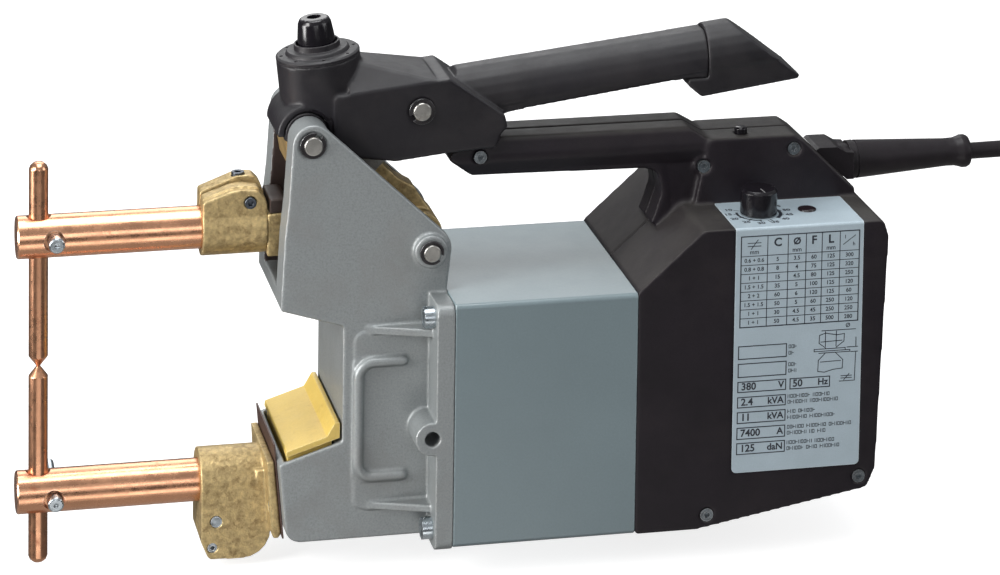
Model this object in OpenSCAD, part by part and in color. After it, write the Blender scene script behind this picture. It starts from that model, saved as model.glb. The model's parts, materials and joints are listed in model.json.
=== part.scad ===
// Portable lever-operated spot welding gun.
// Origin: the point where the two electrode tips meet. +X runs back along the
// tool to the cable, +Y to the side away from the control panel, +Z up.
// Left is -Y and right is +Y. Lengths in millimetres.

/* [Electrodes and arms] */
// Diameter of the two electrodes
electrode_d = 10; // [8:0.5:11]
// Diameter of the two welding arms
arm_d = 22; // [20:0.5:23]
// Length of the upper electrode above the tip
upper_electrode_len = 108; // [95:1:120]
// Length of the lower electrode below the tip
lower_electrode_len = 105; // [95:1:115]
// Height of the upper arm axis above the weld point
upper_arm_z = 68.5; // [68:0.1:69]
// Height of the lower arm axis, negative as it lies below the weld point
lower_arm_z = -67; // [-67.5:0.1:-66.5]
// Gap left between the closed tips
tip_gap = 0.12; // [0.1:0.01:0.3]

/* [Casing] */
// Width across the transformer casing and the rear housing
body_w = 120; // [118:1:124]
// Thickness of the sheet of the transformer casing
sheet = 1.6; // [1.2:0.1:2]
// Wall thickness of the rear housing
wall = 2.6; // [2:0.1:3]

/* [Front casting] */
// Width over the cast ears
ear_w = 76; // [74:1:78]
// Radius of the threaded holes in the side bosses
side_thread_r = 3.9; // [3.5:0.1:4.2]

/* [Pins] */
// Radius of the lever pivot pin
lever_pin_r = 4.85; // [4.5:0.05:5]
// Radius of the arm pivot pin
arm_pin_r = 4.5; // [4.2:0.05:4.8]
// Running clearance on the radius of each pivot
run = 0.05; // [0.03:0.01:0.08]

/* [Controls] */
// Diameter of the timer knob
timer_knob_d = 19.5; // [17:0.5:22]
// Diameter of the weld button
button_d = 6.8; // [6:0.1:7.5]
// Diameter of the force adjusting knob at its base
force_knob_d = 19.5; // [18:0.5:20]

/* [Hidden] */
$fn = 48;

electrode_r = electrode_d/2;
arm_r = arm_d/2;
body_y = body_w/2;
ear_y = ear_w/2;

// Mechanism centres, [x, z]
lever_pivot = [136.3, 120.5];
arm_pivot = [198, 62];
link_top = [195.9, 131];    // link to rocker and hand lever
link_bottom = [162, 95];    // link to arm lever
rod_joint = [148.23, 124.51]; // pull rod to rocker
force_base = [145.5, 152];  // point on the force cylinder's axis
lever_tilt = 6.65;          // rise of the hand lever at rest, degrees

// Colours used by more than one node
electrode_copper = [0.80, 0.50, 0.38];
arm_copper = [0.80, 0.48, 0.34];
bus_copper = [0.76, 0.46, 0.32];
holder_bronze = [0.62, 0.50, 0.26];
screw_steel = [0.62, 0.68, 0.72];
shunt_steel = [0.6, 0.65, 0.68];
pin_steel = [0.66, 0.64, 0.62];
plain_steel = [0.6, 0.6, 0.6];
spring_steel = [0.45, 0.46, 0.48];
housing_black = [0.13, 0.12, 0.14];

// ---- helpers -------------------------------------------------------------
function unit(v) = v/norm(v);
// points along the arc of radius r that rounds one corner
function corner_arc(before, corner, after, r, steps) =
  let (u = unit(before-corner), v = unit(after-corner),
    angle = acos(max(-1, min(1, u*v))), setback = r/tan(angle/2),
    centre = corner+unit(u+v)*(r/sin(angle/2)),
    start = corner+u*setback-centre, end = corner+v*setback-centre,
    from = atan2(start[1], start[0]), to = atan2(end[1], end[0]),
    sweep = ((to-from+540)%360)-180)
  [for (i = [0:steps]) centre+r*[cos(from+sweep*i/steps), sin(from+sweep*i/steps)]];
// polygon with its corners rounded; radii is one radius or one per corner
function rounded(points, radii, steps = 5) = let (count = len(points))
  [for (i = [0:count-1]) let (r = is_list(radii) ? radii[i] : radii)
    each (r <= 0 ? [points[i]] : corner_arc(points[(i+count-1)%count], points[i],
      points[(i+1)%count], r, steps))];
function arc(centre, r, from, to, steps) =
  [for (i = [0:steps]) let (a = from+(to-from)*i/steps) centre+r*[cos(a), sin(a)]];

// local Z turned along one axis, with the other two coordinates in p
module along_x(p, x) translate([x, p[0], p[1]]) rotate([0, 90, 0]) children();
module along_y(p, y) translate([p[0], y, p[1]]) rotate([-90, 0, 0]) children();
module along_z(p, z) translate([p[0], p[1], z]) children();
module cyl_x(p, r, x0, x1) along_x(p, x0) cylinder(r = r, h = x1-x0);
module cyl_y(p, r, y0, y1) along_y(p, y0) cylinder(r = r, h = y1-y0);
module cyl_z(p, r, z0, z1) along_z(p, z0) cylinder(r = r, h = z1-z0);
// [x, z] profile extruded across the tool from y0 to y1
module prism(points, y0, y1) translate([0, y1, 0]) rotate([90, 0, 0])
  linear_extrude(y1-y0) polygon(points);
module box(low, high) translate(low) cube(high-low);
module both_sides() {
  children();
  mirror([0, 1, 0]) children();
}
// frame of the hand lever's force cylinder, local Z along its axis
module force_frame() translate([force_base[0], 0, force_base[1]])
  rotate([0, -lever_tilt, 0]) children();
module hex_socket(r, h) translate([0, 0, -1]) cylinder(r = r, h = h, $fn = 6);

// helical spring wire swept from z = 0, with flat wire ends
function coil_point(r, wire_r, pitch, turn, side) =
  let (a = 360*turn, b = 360*side, reach = r+wire_r*cos(b))
  [reach*cos(a), reach*sin(a), pitch*a/360+wire_r*sin(b)];
module coil(r, wire_r, pitch, turns, steps, sides) {
  last = round(turns*steps);
  points = [for (i = [0:last]) for (j = [0:sides-1])
    coil_point(r, wire_r, pitch, i/steps, j/sides)];
  faces = concat([[for (j = [0:sides-1]) j]],
    [for (i = [0:last-1]) for (j = [0:sides-1])
      [i*sides+j, (i+1)*sides+j, (i+1)*sides+(j+1)%sides]],
    [for (i = [0:last-1]) for (j = [0:sides-1])
      [i*sides+j, (i+1)*sides+(j+1)%sides, i*sides+(j+1)%sides]],
    [[for (j = [sides-1:-1:0]) last*sides+j]]);
  polyhedron(points, faces, convexity = 10);
}

// pin of half length half_l across the tool, with a ring groove near each end
module grooved_pin(p, r, half_l, groove_y) along_y(p, -half_l) rotate_extrude()
  polygon(concat([[0, 0], [r-0.5, 0], [r, 0.5]],
    [for (y = [half_l-groove_y, half_l+groove_y])
      each [[r, y-0.6], [r-0.7, y-0.6], [r-0.7, y+0.6], [r, y+0.6]]],
    [[r, 2*half_l-0.5], [r-0.5, 2*half_l], [0, 2*half_l]]));
// open ring in the +Y groove of a grooved pin, its gap turned by turn
module snap_ring(p, pin_r, outer_r, groove_y, turn) {
  t = 1.1;
  translate([p[0], groove_y-t/2, p[1]]) rotate([-90, turn, 0]) difference() {
    cylinder(r = outer_r, h = t);
    translate([0, 0, -1]) cylinder(r = pin_r-0.65, h = t+2);
    translate([0, -1.6, -1]) cube([outer_r+1, 3.2, t+2]);
  }
}

// ---- electrodes and arms -------------------------------------------------
arm_front_x = -11.5;
arm_chamfer = 0.7;
clamp_bolt_x = 7.9;
clamp_bolt_start = -8.05; // seat of the bolt head, along the bolt from the arm axis
lower_bolt_turn = -80;    // the lower bolt leans off the Y axis

// [radius, distance from the weld point]; crown is the height of the end dome
function electrode_profile(length, crown) = [[0, tip_gap/2], [1, tip_gap/2],
  [electrode_r-0.5, 4.6], [electrode_r, 5.4], [electrode_r, length-3.8],
  [electrode_r-0.7, length-2], [electrode_r-2.2, length-crown], [0, length]];
module upper_electrode() color(electrode_copper) rotate_extrude()
  polygon(electrode_profile(upper_electrode_len, 0.6));
module lower_electrode() color(electrode_copper) rotate_extrude() {
  profile = electrode_profile(lower_electrode_len, 0.7);
  polygon([for (i = [len(profile)-1:-1:0]) [profile[i][0], -profile[i][1]]]);
}

// round bar chamfered at both ends, with the electrode hole
module arm(z, back_x) {
  length = back_x-arm_front_x;
  difference() {
    translate([arm_front_x, 0, z]) rotate([0, 90, 0]) union() {
      cylinder(r1 = arm_r-arm_chamfer, r2 = arm_r, h = arm_chamfer);
      translate([0, 0, arm_chamfer]) cylinder(r = arm_r, h = length-2*arm_chamfer);
      translate([0, 0, length-arm_chamfer])
        cylinder(r1 = arm_r, r2 = arm_r-arm_chamfer, h = arm_chamfer);
    }
    cyl_z([0, 0], electrode_r+run, z-20, z+20);
    translate([0, 0, z+arm_r-1.6])
      cylinder(r1 = electrode_r+run, r2 = electrode_r+run+1.8, h = 2);
  }
}
module upper_arm() color(arm_copper) difference() {
  arm(upper_arm_z, 104);
  cyl_y([clamp_bolt_x, upper_arm_z], 2.75, -20, 20);
  cyl_y([clamp_bolt_x-0.7, upper_arm_z], 5.6, -20, -8);
}
module lower_arm() color(arm_copper) difference() {
  arm(lower_arm_z, 106);
  translate([clamp_bolt_x, 0, lower_arm_z]) rotate([lower_bolt_turn, 0, 0]) {
    cylinder(r = 2.75, h = 40, center = true);
    translate([-0.7, 0, -22]) cylinder(r = 5.6, h = 14);
  }
}
// seat of the head at the origin, shank along +Z
module clamp_bolt(head, length) rotate_extrude()
  polygon([[0, 0.9-head], [1.3, -head], [3.3, -head], [3.9, 0.4-head],
    [4.2, 1.1-head], [4.2, 0], [2.65, 0], [2.65, length-0.6], [2.05, length],
    [0, length]]);
module upper_electrode_bolt() color(screw_steel)
  along_y([clamp_bolt_x, upper_arm_z], clamp_bolt_start) clamp_bolt(9.4, 16.5);
module lower_electrode_bolt() color(screw_steel)
  translate([clamp_bolt_x, 0, lower_arm_z]) rotate([lower_bolt_turn, 0, 0])
    translate([0, 0, clamp_bolt_start]) clamp_bolt(7.2, 34);

// ---- arm holders ----------------------------------------------------------
holder_bore_r = arm_r+0.03;
upper_lug_screw = [104.1, 5.6];     // vertical, [x, y]
upper_cross_screw = [108.1, 83.8];  // across the slot, [x, z]
lower_cross_screw = [90.8, -84.2];  // [x, z]
lower_foot_screw = [88.9, -98.2];   // [x, z]
stud = [23, -75];                   // [y, z], one on each side

module upper_arm_holder() color(holder_bronze) difference() {
  union() {
    cyl_x([0, upper_arm_z], 14.6, 83.5, 117);
    // clamping lugs, stepped up toward +Y
    prism(rounded([[83.6, 68], [83.6, 84.9], [98, 89.9], [103.5, 90.7], [112.8, 89.7],
      [117, 83.5], [117, 68]], [0, 1.5, 5, 5, 3, 3, 0]), -12.3, 12.3);
    prism(rounded([[83.6, 68], [83.6, 86.0], [98.6, 91.2], [104, 91.9], [112.8, 90.7],
      [117, 84], [117, 68]], [0, 1.5, 5, 5, 3, 3, 0]), -8.5, 12.3);
    prism(rounded([[83.6, 68], [83.6, 86.8], [99.4, 92.8], [103, 94.2], [111.5, 93.9],
      [115, 90.4], [117, 85], [117, 68]], [0, 1.5, 2, 2, 3, 2, 2, 0]), 0.9, 11.6);
  }
  cyl_x([0, upper_arm_z], holder_bore_r, 82, 118);
  // clamping slot
  box([82, -0.9, upper_arm_z], [118, 0.9, 98]);
  cyl_z(upper_lug_screw, 2.1, 70, 87.1);
  cyl_z(upper_lug_screw, 3.5, 87, 98);
  cyl_y(upper_cross_screw, 1.75, -20, 20);
  cyl_y(upper_cross_screw, 3.1, -20, -10.5);
}
module upper_holder_screws() color([0.30, 0.33, 0.37]) {
  along_z(upper_lug_screw, 82) difference() {
    union() {
      cylinder(r = 2.0, h = 5.2);
      translate([0, 0, 5.1]) cylinder(r = 3.4, h = 8.1);
    }
    translate([0, 0, 9.6]) cylinder(r = 1.8, h = 5, $fn = 6);
  }
  along_y(upper_cross_screw, -13.6) difference() {
    union() {
      cylinder(r = 3.0, h = 3.0);
      translate([0, 0, 2.9]) cylinder(r = 1.7, h = 22.5);
    }
    hex_socket(1.5, 2.7);
  }
}
module lower_arm_holder() color(holder_bronze) difference() {
  union() {
    cyl_x([0, lower_arm_z], 16.5, 83, 119.2);
    prism(rounded([[83, -66], [83, -95], [87, -104.2], [119.5, -105.2], [119.5, -66]],
      [0, 4, 3, 15, 0]), -16.5, 16.5);
    // slanting flange and its web
    prism([[115.4, -49.5], [119.2, -49.5], [123.0, -88.5], [121.5, -90.6],
      [119, -90.6], [117.6, -86]], -28, 28);
    prism([[112, -58], [112, -80], [118.5, -80], [118.0, -58]], -16.5, 16.5);
  }
  cyl_x([0, lower_arm_z], holder_bore_r, 82, 108.5);
  // clamping slot
  box([82, -0.9, -112], [104, 0.9, lower_arm_z]);
  cyl_y(lower_cross_screw, 2.6, -20, 20);
  cyl_y(lower_cross_screw, 3.1, -20, -13.5);
  cyl_y(lower_foot_screw, 2.1, -20, 20);
  cyl_y(lower_foot_screw, 2.6, -20, -13.5);
  both_sides() cyl_x(stud, 3.2, 112, 130);
}
module lower_holder_screws() color([0.40, 0.43, 0.50]) {
  along_y(lower_cross_screw, -16.2) {
    cylinder(r = 2.5, h = 30);
    difference() {
      cylinder(r = 2.95, h = 2.6);
      hex_socket(1.4, 2.4);
    }
  }
  along_y(lower_foot_screw, -15.6) difference() {
    union() {
      cylinder(r = 2.45, h = 2);
      translate([0, 0, 1.9]) cylinder(r = 2.0, h = 28);
    }
    hex_socket(1.3, 2.6);
  }
}
module lower_holder_studs() color([0.62, 0.66, 0.70]) both_sides() {
  cyl_x(stud, 3.1, 117.3, 136);
  along_x(stud, 129.0) difference() {
    cylinder(r = 6, h = 5, $fn = 6);
    translate([0, 0, -1]) cylinder(r = 3.15, h = 8);
  }
}
module flange_insulator() color([0.20, 0.13, 0.10]) difference() {
  prism([[118.4, -39.6], [119.28, -39.6], [124.2, -90.2], [123.32, -90.2]], -29.5, 29.5);
  box([110, -17, -81], [130, 17, -56]);
  both_sides() cyl_x(stud, 3.6, 110, 140);
}
module terminal_cover() color([0.90, 0.79, 0.42]) {
  prism(rounded([[125.4, -56.3], [148.0, -56.3], [148.0, -35.6], [124.9, -42.6]],
    [1, 1, 0.6, 0.8], 3), -34, 34);
  prism(rounded([[123.9, -44.3], [146, -37.4], [151.9, -35.6], [151.9, -27.4],
    [149.4, -27.4], [145.2, -34.6], [124.2, -41.2]],
    [0.4, 0, 0.6, 0.8, 0.8, 1, 0.8], 3), -36.3, 36.3);
}

// ---- front casting ---------------------------------------------------------
side_boss = [196, -30.7];        // [x, z]
flange_screw_y = 50;
flange_screw_z = [30.6, -81.5];
ear_front = [[120.5, 34], [120.7, 44], [122.1, 72], [124, 90]]; // front edge, [x, z]

module front_casting() color([0.60, 0.62, 0.63]) difference() {
  union() {
    // transformer nose and lower foot
    prism(rounded([[120.1, -47.5], [153, -37.3], [153, 26], [198.5, 26],
      [198.5, -89.4], [124.2, -89.4]], [1.2, 1.5, 0, 0, 0, 8]), -ear_y, ear_y);
    // raised side fields
    both_sides() prism(rounded([[158.9, 20.5], [197, 20.5], [197, -73.5],
      [158.9, -73.5]], [6, 0, 0, 6]), ear_y-1.3, ear_y+0.8);
    // floor between the ears
    prism([[120.5, 34], [153, 24], [200, 24], [200, 31], [156, 31], [131, 38.5],
      [131, 41], [120.7, 41]], -ear_y, ear_y);
    both_sides() {
      // side plate of the ear
      prism(concat(ear_front, arc(lever_pivot, 10.4, 174, 46.5, 9),
        arc(arm_pivot, 11.5, 46.5, -12, 5), [[207.3, 41], [207.3, 24], [153, 24]]),
        ear_y-6.5, ear_y);
      // thick front edge and pin bosses
      prism(concat(ear_front, arc(lever_pivot, 10.4, 174, -81, 16),
        [[134.5, 90], [132, 60], [131.5, 34]]), 20, ear_y);
      cyl_y(arm_pivot, 10.9, 30, ear_y-1);
      cyl_y(arm_pivot, 8.7, 31, ear_y+4.5);
      // gussets in front of the flange
      for (z = [19.5, -74]) translate([0, 0, z]) linear_extrude(4)
        polygon([[163, ear_y-0.2], [199, ear_y-0.2], [199, ear_y+12]]);
      // loop moulded on the side
      prism(rounded([[158.2, 7.8], [185, 7.8], [185, 3.2], [163, 3.2], [163, -54.7],
        [185, -54.7], [185, -59.3], [158.2, -59.3]], [5, 0, 0, 2, 2, 0, 0, 5]),
        ear_y-1, ear_y+3.6);
      // threaded side boss
      cyl_y(side_boss, 8.9, ear_y-0.9, body_y);
      prism([[196, -22.6], [202, -22.6], [202, -38.8], [196, -38.8]],
        ear_y-1.1, body_y-0.3);
    }
    // flange to the transformer casing
    translate([198, 0, 0]) rotate([90, 0, 90]) linear_extrude(9.3)
      polygon(rounded([[-body_y, -91], [body_y, -91], [body_y, 39], [-body_y, 39]], 5));
  }
  // hollows
  prism([[158.5, -83], [158.5, 20], [210, 20], [210, -83]], -32, 32);
  prism([[128.5, -83], [127.0, -60], [160, -60], [160, -83]], -32, 32);
  prism([[124.4, -61], [122.6, -30], [149.6, -30], [149.6, -61]], -35.3, 35.3);
  prism([[118, -81], [118, -56], [130, -56], [130, -81]], -17, 17);
  // passage for the upper busbar
  box([177, -31, 15], [198.6, 31, 33]);
  // pins, studs, screws, side threads
  cyl_y(lever_pivot, lever_pin_r+run, -70, 70);
  cyl_y(arm_pivot, arm_pin_r+run, -70, 70);
  both_sides() {
    cyl_y(lever_pivot, 7.6, ear_y-0.9, 70);
    cyl_y(side_boss, side_thread_r, 44, 70);
    cyl_x(stud, 3.6, 110, 140);
    for (z = flange_screw_z) {
      cyl_x([flange_screw_y, z], 3.1, 190, 215);
      cyl_x([flange_screw_y, z], 6.1, 170, 198);
    }
  }
}

// ---- arm lever, pivots and links --------------------------------------------
link_pin_r = 4.85;
link_groove_y = 23.9;
lower_link_pin_r = 4;
lower_link_bore_r = 4.05;
lower_link_groove_y = 13.4;
arm_pin_groove_y = ear_y+5.2;
lever_pin_groove_y = ear_y+0.2;
shunt_y = 22.5;
shunt_arm_bolt = [166, shunt_y];  // vertical, [x, y]
shunt_frame_bolt = [shunt_y, 39]; // along X, [y, z]

module arm_lever() color([0.66, 0.47, 0.25]) difference() {
  union() {
    // neck, lug and hub
    prism(rounded([[117.05, 55], [117.05, 77.3], [130, 77.7], [148, 84], [152.6, 96.5],
      [166, 104.4], [177, 100.5], [186.5, 91], [195.4, 86], [200, 78.5], [207, 69.5],
      [209, 57], [198, 49.5], [160, 50.5], [135, 54.5]],
      [0, 0, 6, 8, 4, 5, 5, 4, 4, 3, 3, 3, 8, 6, 3]), -7, 7);
    prism(rounded([[117.05, 55], [117.05, 77.3], [130, 77.7], [146, 82], [170, 80],
      [190, 76], [190, 50], [160, 50.5], [135, 54.5]],
      [0, 0, 6, 6, 3, 4, 4, 6, 3]), -13.4, 13.4);
    cyl_y(arm_pivot, 11.6, -14, 14);
    cyl_y(link_bottom, 9.4, -7, 7);
    // side wings for the flexible shunt
    prism(rounded([[158, 72.5], [178, 71], [178, 77.5], [158, 78.5]], 1.5, 3), -29, 29);
    // spigot in the arm holder
    cyl_x([0, upper_arm_z], arm_r, 106, 118);
  }
  cyl_y(arm_pivot, arm_pin_r+run, -20, 20);
  cyl_y(link_bottom, lower_link_bore_r, -20, 20);
  both_sides() cyl_z(shunt_arm_bolt, 2.6, 60, 90);
}
module stop_buffer() color([0.16, 0.12, 0.11])
  prism(rounded([[118.1, 77.5], [128.0, 77.8], [128.0, 83.8], [125.6, 84.9],
    [118.1, 84.9]], [0, 0, 1.5, 0.8, 1], 3), -13, 13);
module arm_pivot_pin() color(pin_steel)
  grooved_pin(arm_pivot, arm_pin_r, ear_y+7.2, arm_pin_groove_y);
module lever_pivot_pin() color(pin_steel)
  grooved_pin(lever_pivot, lever_pin_r, ear_y+2.6, lever_pin_groove_y);
module frame_pin_rings() color([0.08, 0.08, 0.09]) both_sides() {
  snap_ring(arm_pivot, arm_pin_r, 6.3, arm_pin_groove_y, 30);
  snap_ring(lever_pivot, lever_pin_r, 6.8, lever_pin_groove_y, -60);
}
module link_pin() color([0.68, 0.67, 0.62])
  grooved_pin(link_top, link_pin_r, 25.6, link_groove_y);
module link_pin_rings() color([0.07, 0.07, 0.08]) both_sides()
  snap_ring(link_top, link_pin_r, 6.9, link_groove_y, 150);
module lower_link_pin() color(plain_steel)
  grooved_pin(link_bottom, lower_link_pin_r, 14.4, lower_link_groove_y);
module lower_link_rings() color([0.1, 0.1, 0.1]) both_sides()
  snap_ring(link_bottom, lower_link_pin_r, 5.6, lower_link_groove_y, 90);
module link_plates() color([0.42, 0.42, 0.43]) {
  run_dir = unit(link_top-link_bottom);
  edge = 7*[-run_dir[1], run_dir[0]]; // from the centre line to a straight edge
  both_sides() difference() {
    union() {
      cyl_y(link_bottom, 8, 8, 12.5);
      cyl_y(link_top, 8, 8, 12.5);
      prism([link_bottom+edge, link_bottom-edge, link_top-edge, link_top+edge], 8, 12.5);
    }
    cyl_y(link_bottom, lower_link_bore_r, 6, 14);
    cyl_y(link_top, link_pin_r+0.5, 6, 14);
  }
}
module rocker() color([0.63, 0.45, 0.22]) difference() {
  union() {
    cyl_y(lever_pivot, 11.3, -19.2, 19.2);
    prism([[125.2, 120.5], [124.9, 118], [128, 101.5], [131, 100.5], [134, 104],
      [137, 111]], -17, 17);
    cyl_y(link_top, 9, -7, 7);
    prism(rounded([[136.3, 109.8], [152, 113], [190, 121.5], [200, 125], [197, 140],
      [186, 139.5], [168, 131], [152, 131.4], [136.3, 131.6]],
      [0, 3, 3, 0, 0, 3, 3, 2, 0]), -7, 7);
    prism(rounded([[138, 112.5], [149, 114.5], [160, 116.6], [160, 130.6],
      [151, 131.6], [138, 131.6]], [0, 3, 2, 3, 4, 0], 4), -12, 12);
  }
  cyl_y(lever_pivot, lever_pin_r+run, -30, 30);
  cyl_y(link_top, link_pin_r+run, -30, 30);
  // seat for the pull rod's eye
  translate([139, -6.1, 114]) cube([18.2, 12.2, 30]);
  cyl_y(rod_joint, 2.42, -13, 13);
}
module rod_pin() color(plain_steel) along_y(rod_joint, -11.8) rotate_extrude()
  polygon([[0, 0], [2, 0], [2.4, 0.4], [2.4, 23.2], [2, 23.6], [0, 23.6]]);

// ---- hand lever --------------------------------------------------------------
lever_y = 23;                  // half width of the box beam
rod_eye = [-0.47, 0, -27.62];  // in the force frame

module hand_lever() color([0.17, 0.16, 0.18]) difference() {
  union() {
    force_frame() {
      translate([0, 0, -24]) cylinder(r = 22, h = 29);
      translate([0, 0, -27]) cylinder(r1 = 20.5, r2 = 22, h = 3.01);
    }
    // box beam
    prism(rounded([[150, 138.5], [151, 140.6], [210.8, 147.2], [230.4, 133.5],
      [240.3, 126.4], [241.8, 120], [238.4, 116.4], [236, 109.4], [209, 107.5],
      [182.5, 104.7], [158, 108], [150, 115]],
      [0, 0.5, 3, 0, 2, 2, 1.5, 2, 2, 2, 3, 2], 4), -lever_y, lever_y);
    // ridge that blends the beam into the force cylinder
    hull() {
      prism([[158, 140], [158, 155.4], [163, 155.4], [163, 140]], -10, 10);
      prism([[158, 136], [158, 141.3], [163, 141.9], [163, 136]], -lever_y, lever_y);
      prism([[203, 136], [203, 147.6], [204, 147.6], [204, 136]], -10, 10);
      prism([[203, 136], [203, 146.3], [204, 146.4], [204, 136]], -lever_y, lever_y);
    }
    grip_shape([[205, 124], [218, 146.9], [352, 161.9], [352, 138.7], [339.8, 138.4],
      [247, 126.0], [237, 124]]);
  }
  // bore for the pressure spring and rod
  force_frame() {
    translate([0, 0, -14]) cylinder(r = 17, h = 30);
    translate([0, 0, -40]) cylinder(r = 6.6, h = 40);
  }
  // room for the rocker and the links
  prism([[120, 100], [120, 133.5], [150, 135.2], [158, 136.4], [170, 139],
    [184, 142.5], [206, 142.5], [213, 134], [215, 123.5], [246, 119.6], [246, 100]],
    -19, 19);
  // reliefs round the ear bosses and the pivot pin
  both_sides() {
    cyl_y(lever_pivot, 13.6, 19, 40);
    prism([[122.0, 90], [122.7, 120.5], [149.9, 120.5], [153, 90]], 19, 40);
  }
  prism([[126.1, 90], [124.4, 120.5], [126, 129], [149, 129], [152, 90]], -25, 25);
  cyl_y(link_top, link_pin_r+run, -30, 30);
  both_sides() cyl_y(link_top, 7.4, lever_y-0.4, 30);
}
// domed section carried along the lever's slope, widened by extra on each side
// and cut to an [x, z] side profile
module grip_shape(profile, extra = 0) intersection() {
  translate([195, 0, 120.3]) rotate([0, -lever_tilt, 0]) translate([-10, 0, 0])
    rotate([90, 0, 90]) linear_extrude(240)
      polygon(concat(
        [[-15.2-extra, -12], [15.2+extra, -12], [15.6+extra, 3.4], [16.4+extra, 4.2]],
        [for (a = [0:15:180]) [(16.4+extra)*cos(a), 6+(18.2+extra)*sin(a)]],
        [[-16.4-extra, 4.2], [-15.6-extra, 3.4]]));
  prism(profile, -30, 30);
}
module grip_end() color([0.15, 0.14, 0.16])
  grip_shape(rounded([[352.05, 138.5], [352.05, 164.3], [358.5, 165.6], [366.5, 165.2],
    [402.2, 138], [401.6, 135.6], [348.5, 128.2], [340.5, 135.2], [341.5, 138.2]],
    [0, 0, 4, 2, 1, 1, 2, 2, 0], 3), 0.9);
module spring_cap() color([0.15, 0.15, 0.16]) force_frame() difference() {
  rotate_extrude() polygon([[11, 1], [16.8, 1], [16.8, 5.05], [22, 5.05], [22, 6.6],
    [21, 7.4], [16.9, 7.4], [16.5, 8.6], [15.7, 9.4], [12.2, 9.4], [11.9, 12.4],
    [11, 12.4]]);
  for (a = [0:45:315]) rotate([0, 0, a]) translate([19.2, 0, 6.2]) cylinder(r = 1, h = 3);
}
module pull_rod() color([0.55, 0.55, 0.56]) force_frame() difference() {
  union() {
    translate([0, 0, -21]) cylinder(r = 4, h = 37);
    translate([0, 0, 15]) cylinder(r = 3.4, h = 5.5);
    translate(rod_eye) rotate([90, 0, 0]) cylinder(r = 6.4, h = 10, center = true);
    translate([-5.2, -5, -27.6]) cube([9.5, 10, 8]);
  }
  translate(rod_eye) rotate([90, 0, 0]) cylinder(r = 2.9, h = 20, center = true);
}
module spring_seat() color([0.5, 0.5, 0.5]) force_frame() rotate_extrude()
  polygon([[4.1, 4.6], [7.2, 4.6], [7.2, 6.0], [10.6, 6.0], [10.6, 7.9], [4.1, 7.9]]);
module force_knob() color([0.13, 0.13, 0.15]) {
  r = force_knob_d/2;
  force_frame() rotate_extrude() polygon([[4.06, 7.96], [r-0.2, 7.96], [r, 8.6],
    [r, 15], [r-1.0, 22.5], [r-2.0, 24.6], [r-3.4, 25.4], [3.55, 25.4], [3.55, 19],
    [4.06, 19]]);
}
module pressure_spring() color(spring_steel) force_frame() translate([0, 0, -12.7])
  coil(r = 8.8, wire_r = 1.25, pitch = 4.98, turns = 3.5, steps = 24, sides = 6);
module return_spring() color(spring_steel) along_y(arm_pivot, 15.2)
  coil(r = 7.2, wire_r = 1.0, pitch = 2.2, turns = 6, steps = 18, sides = 6);

// ---- current path --------------------------------------------------------------
function bezier(p0, p1, p2, p3, t) =
  p0*pow(1-t, 3)+3*p1*t*pow(1-t, 2)+3*p2*t*t*(1-t)+p3*pow(t, 3);
// centre line of the shunt, [x, z]
shunt_line = concat([[187.4, 33], [187.4, 46]],
  [for (t = [1:9]) bezier([187.4, 46], [187.4, 66], [187, 68.9], [176, 69.2], t/9)],
  [[158.5, 70.4]]);
function line_normal(line, i) =
  let (u = unit(line[min(len(line)-1, i+1)]-line[max(0, i-1)])) [-u[1], u[0]];
function offset_point(line, i, distance) = line[i]+distance*line_normal(line, i);

module copper_shunt() color([0.78, 0.45, 0.30]) {
  last = len(shunt_line)-1;
  both_sides() difference() {
    prism(concat([for (i = [0:last]) offset_point(shunt_line, i, 1.5)],
      [for (i = [last:-1:0]) offset_point(shunt_line, i, -1.5)]), 16, 29);
    cyl_z(shunt_arm_bolt, 2.6, 60, 90);
    cyl_x(shunt_frame_bolt, 2.6, 180, 195);
  }
}
module shunt_bolts_arm() color(shunt_steel) both_sides() {
  cyl_z(shunt_arm_bolt, 2.5, 64, 78.4);
  along_z(shunt_arm_bolt, 78.45) cylinder(r = 4.6, h = 3.6, $fn = 6);
  along_z(shunt_arm_bolt, 64.4) difference() {
    cylinder(r = 4.6, h = 3.6, $fn = 6);
    translate([0, 0, -1]) cylinder(r = 2.55, h = 6);
  }
}
module shunt_bolts_frame() color(shunt_steel) both_sides() {
  cyl_x(shunt_frame_bolt, 2.5, 185.8, 196);
  along_x(shunt_frame_bolt, 182.2) cylinder(r = 4.6, h = 3.6, $fn = 6);
}
module lower_busbar() color(bus_copper) {
  box([124.6, -13, -79], [204, 13, -69]);
  prism([[122.35, -80], [120.1, -57], [127.2, -57.5], [128.6, -80]], -13, 13);
  box([204, -13, -79], [214, 13, -69]);
  box([207.8, 10, -75.5], [214, 57, -69]);
  box([207.8, 52, -75.5], [256, 57, -56.1]);
}
module secondary_winding() color(bus_copper) {
  difference() {
    box([250.5, -50.5, -55.6], [261.5, 50.5, 5.6]);
    box([249, -37.4, -40.4], [263, 37.4, -9.6]);
    box([249, -60, -27], [263, -36, -23]);
  }
  // upper lead, forward to the posts of the flexible shunt
  box([251, -57, -20], [261, -50, 4]);
  box([209, -57, -20], [261, -52, 4]);
  box([209, -57, 4], [214, 14, 14]);
  box([209, -57, -20], [214, -48, 14]);
  box([178, -14, 4], [214, 14, 14]);
  box([189.5, -29, 4], [196.5, 29, 14]);
  both_sides() difference() {
    box([189, 16, 10], [196.5, 29, 50]);
    cyl_x(shunt_frame_bolt, 2.55, 180, 200);
  }
  // lower lead
  box([256.05, 52, -75.5], [261, 57, -54]);
  box([251, 49, -56], [261, 57, -50]);
}

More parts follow.
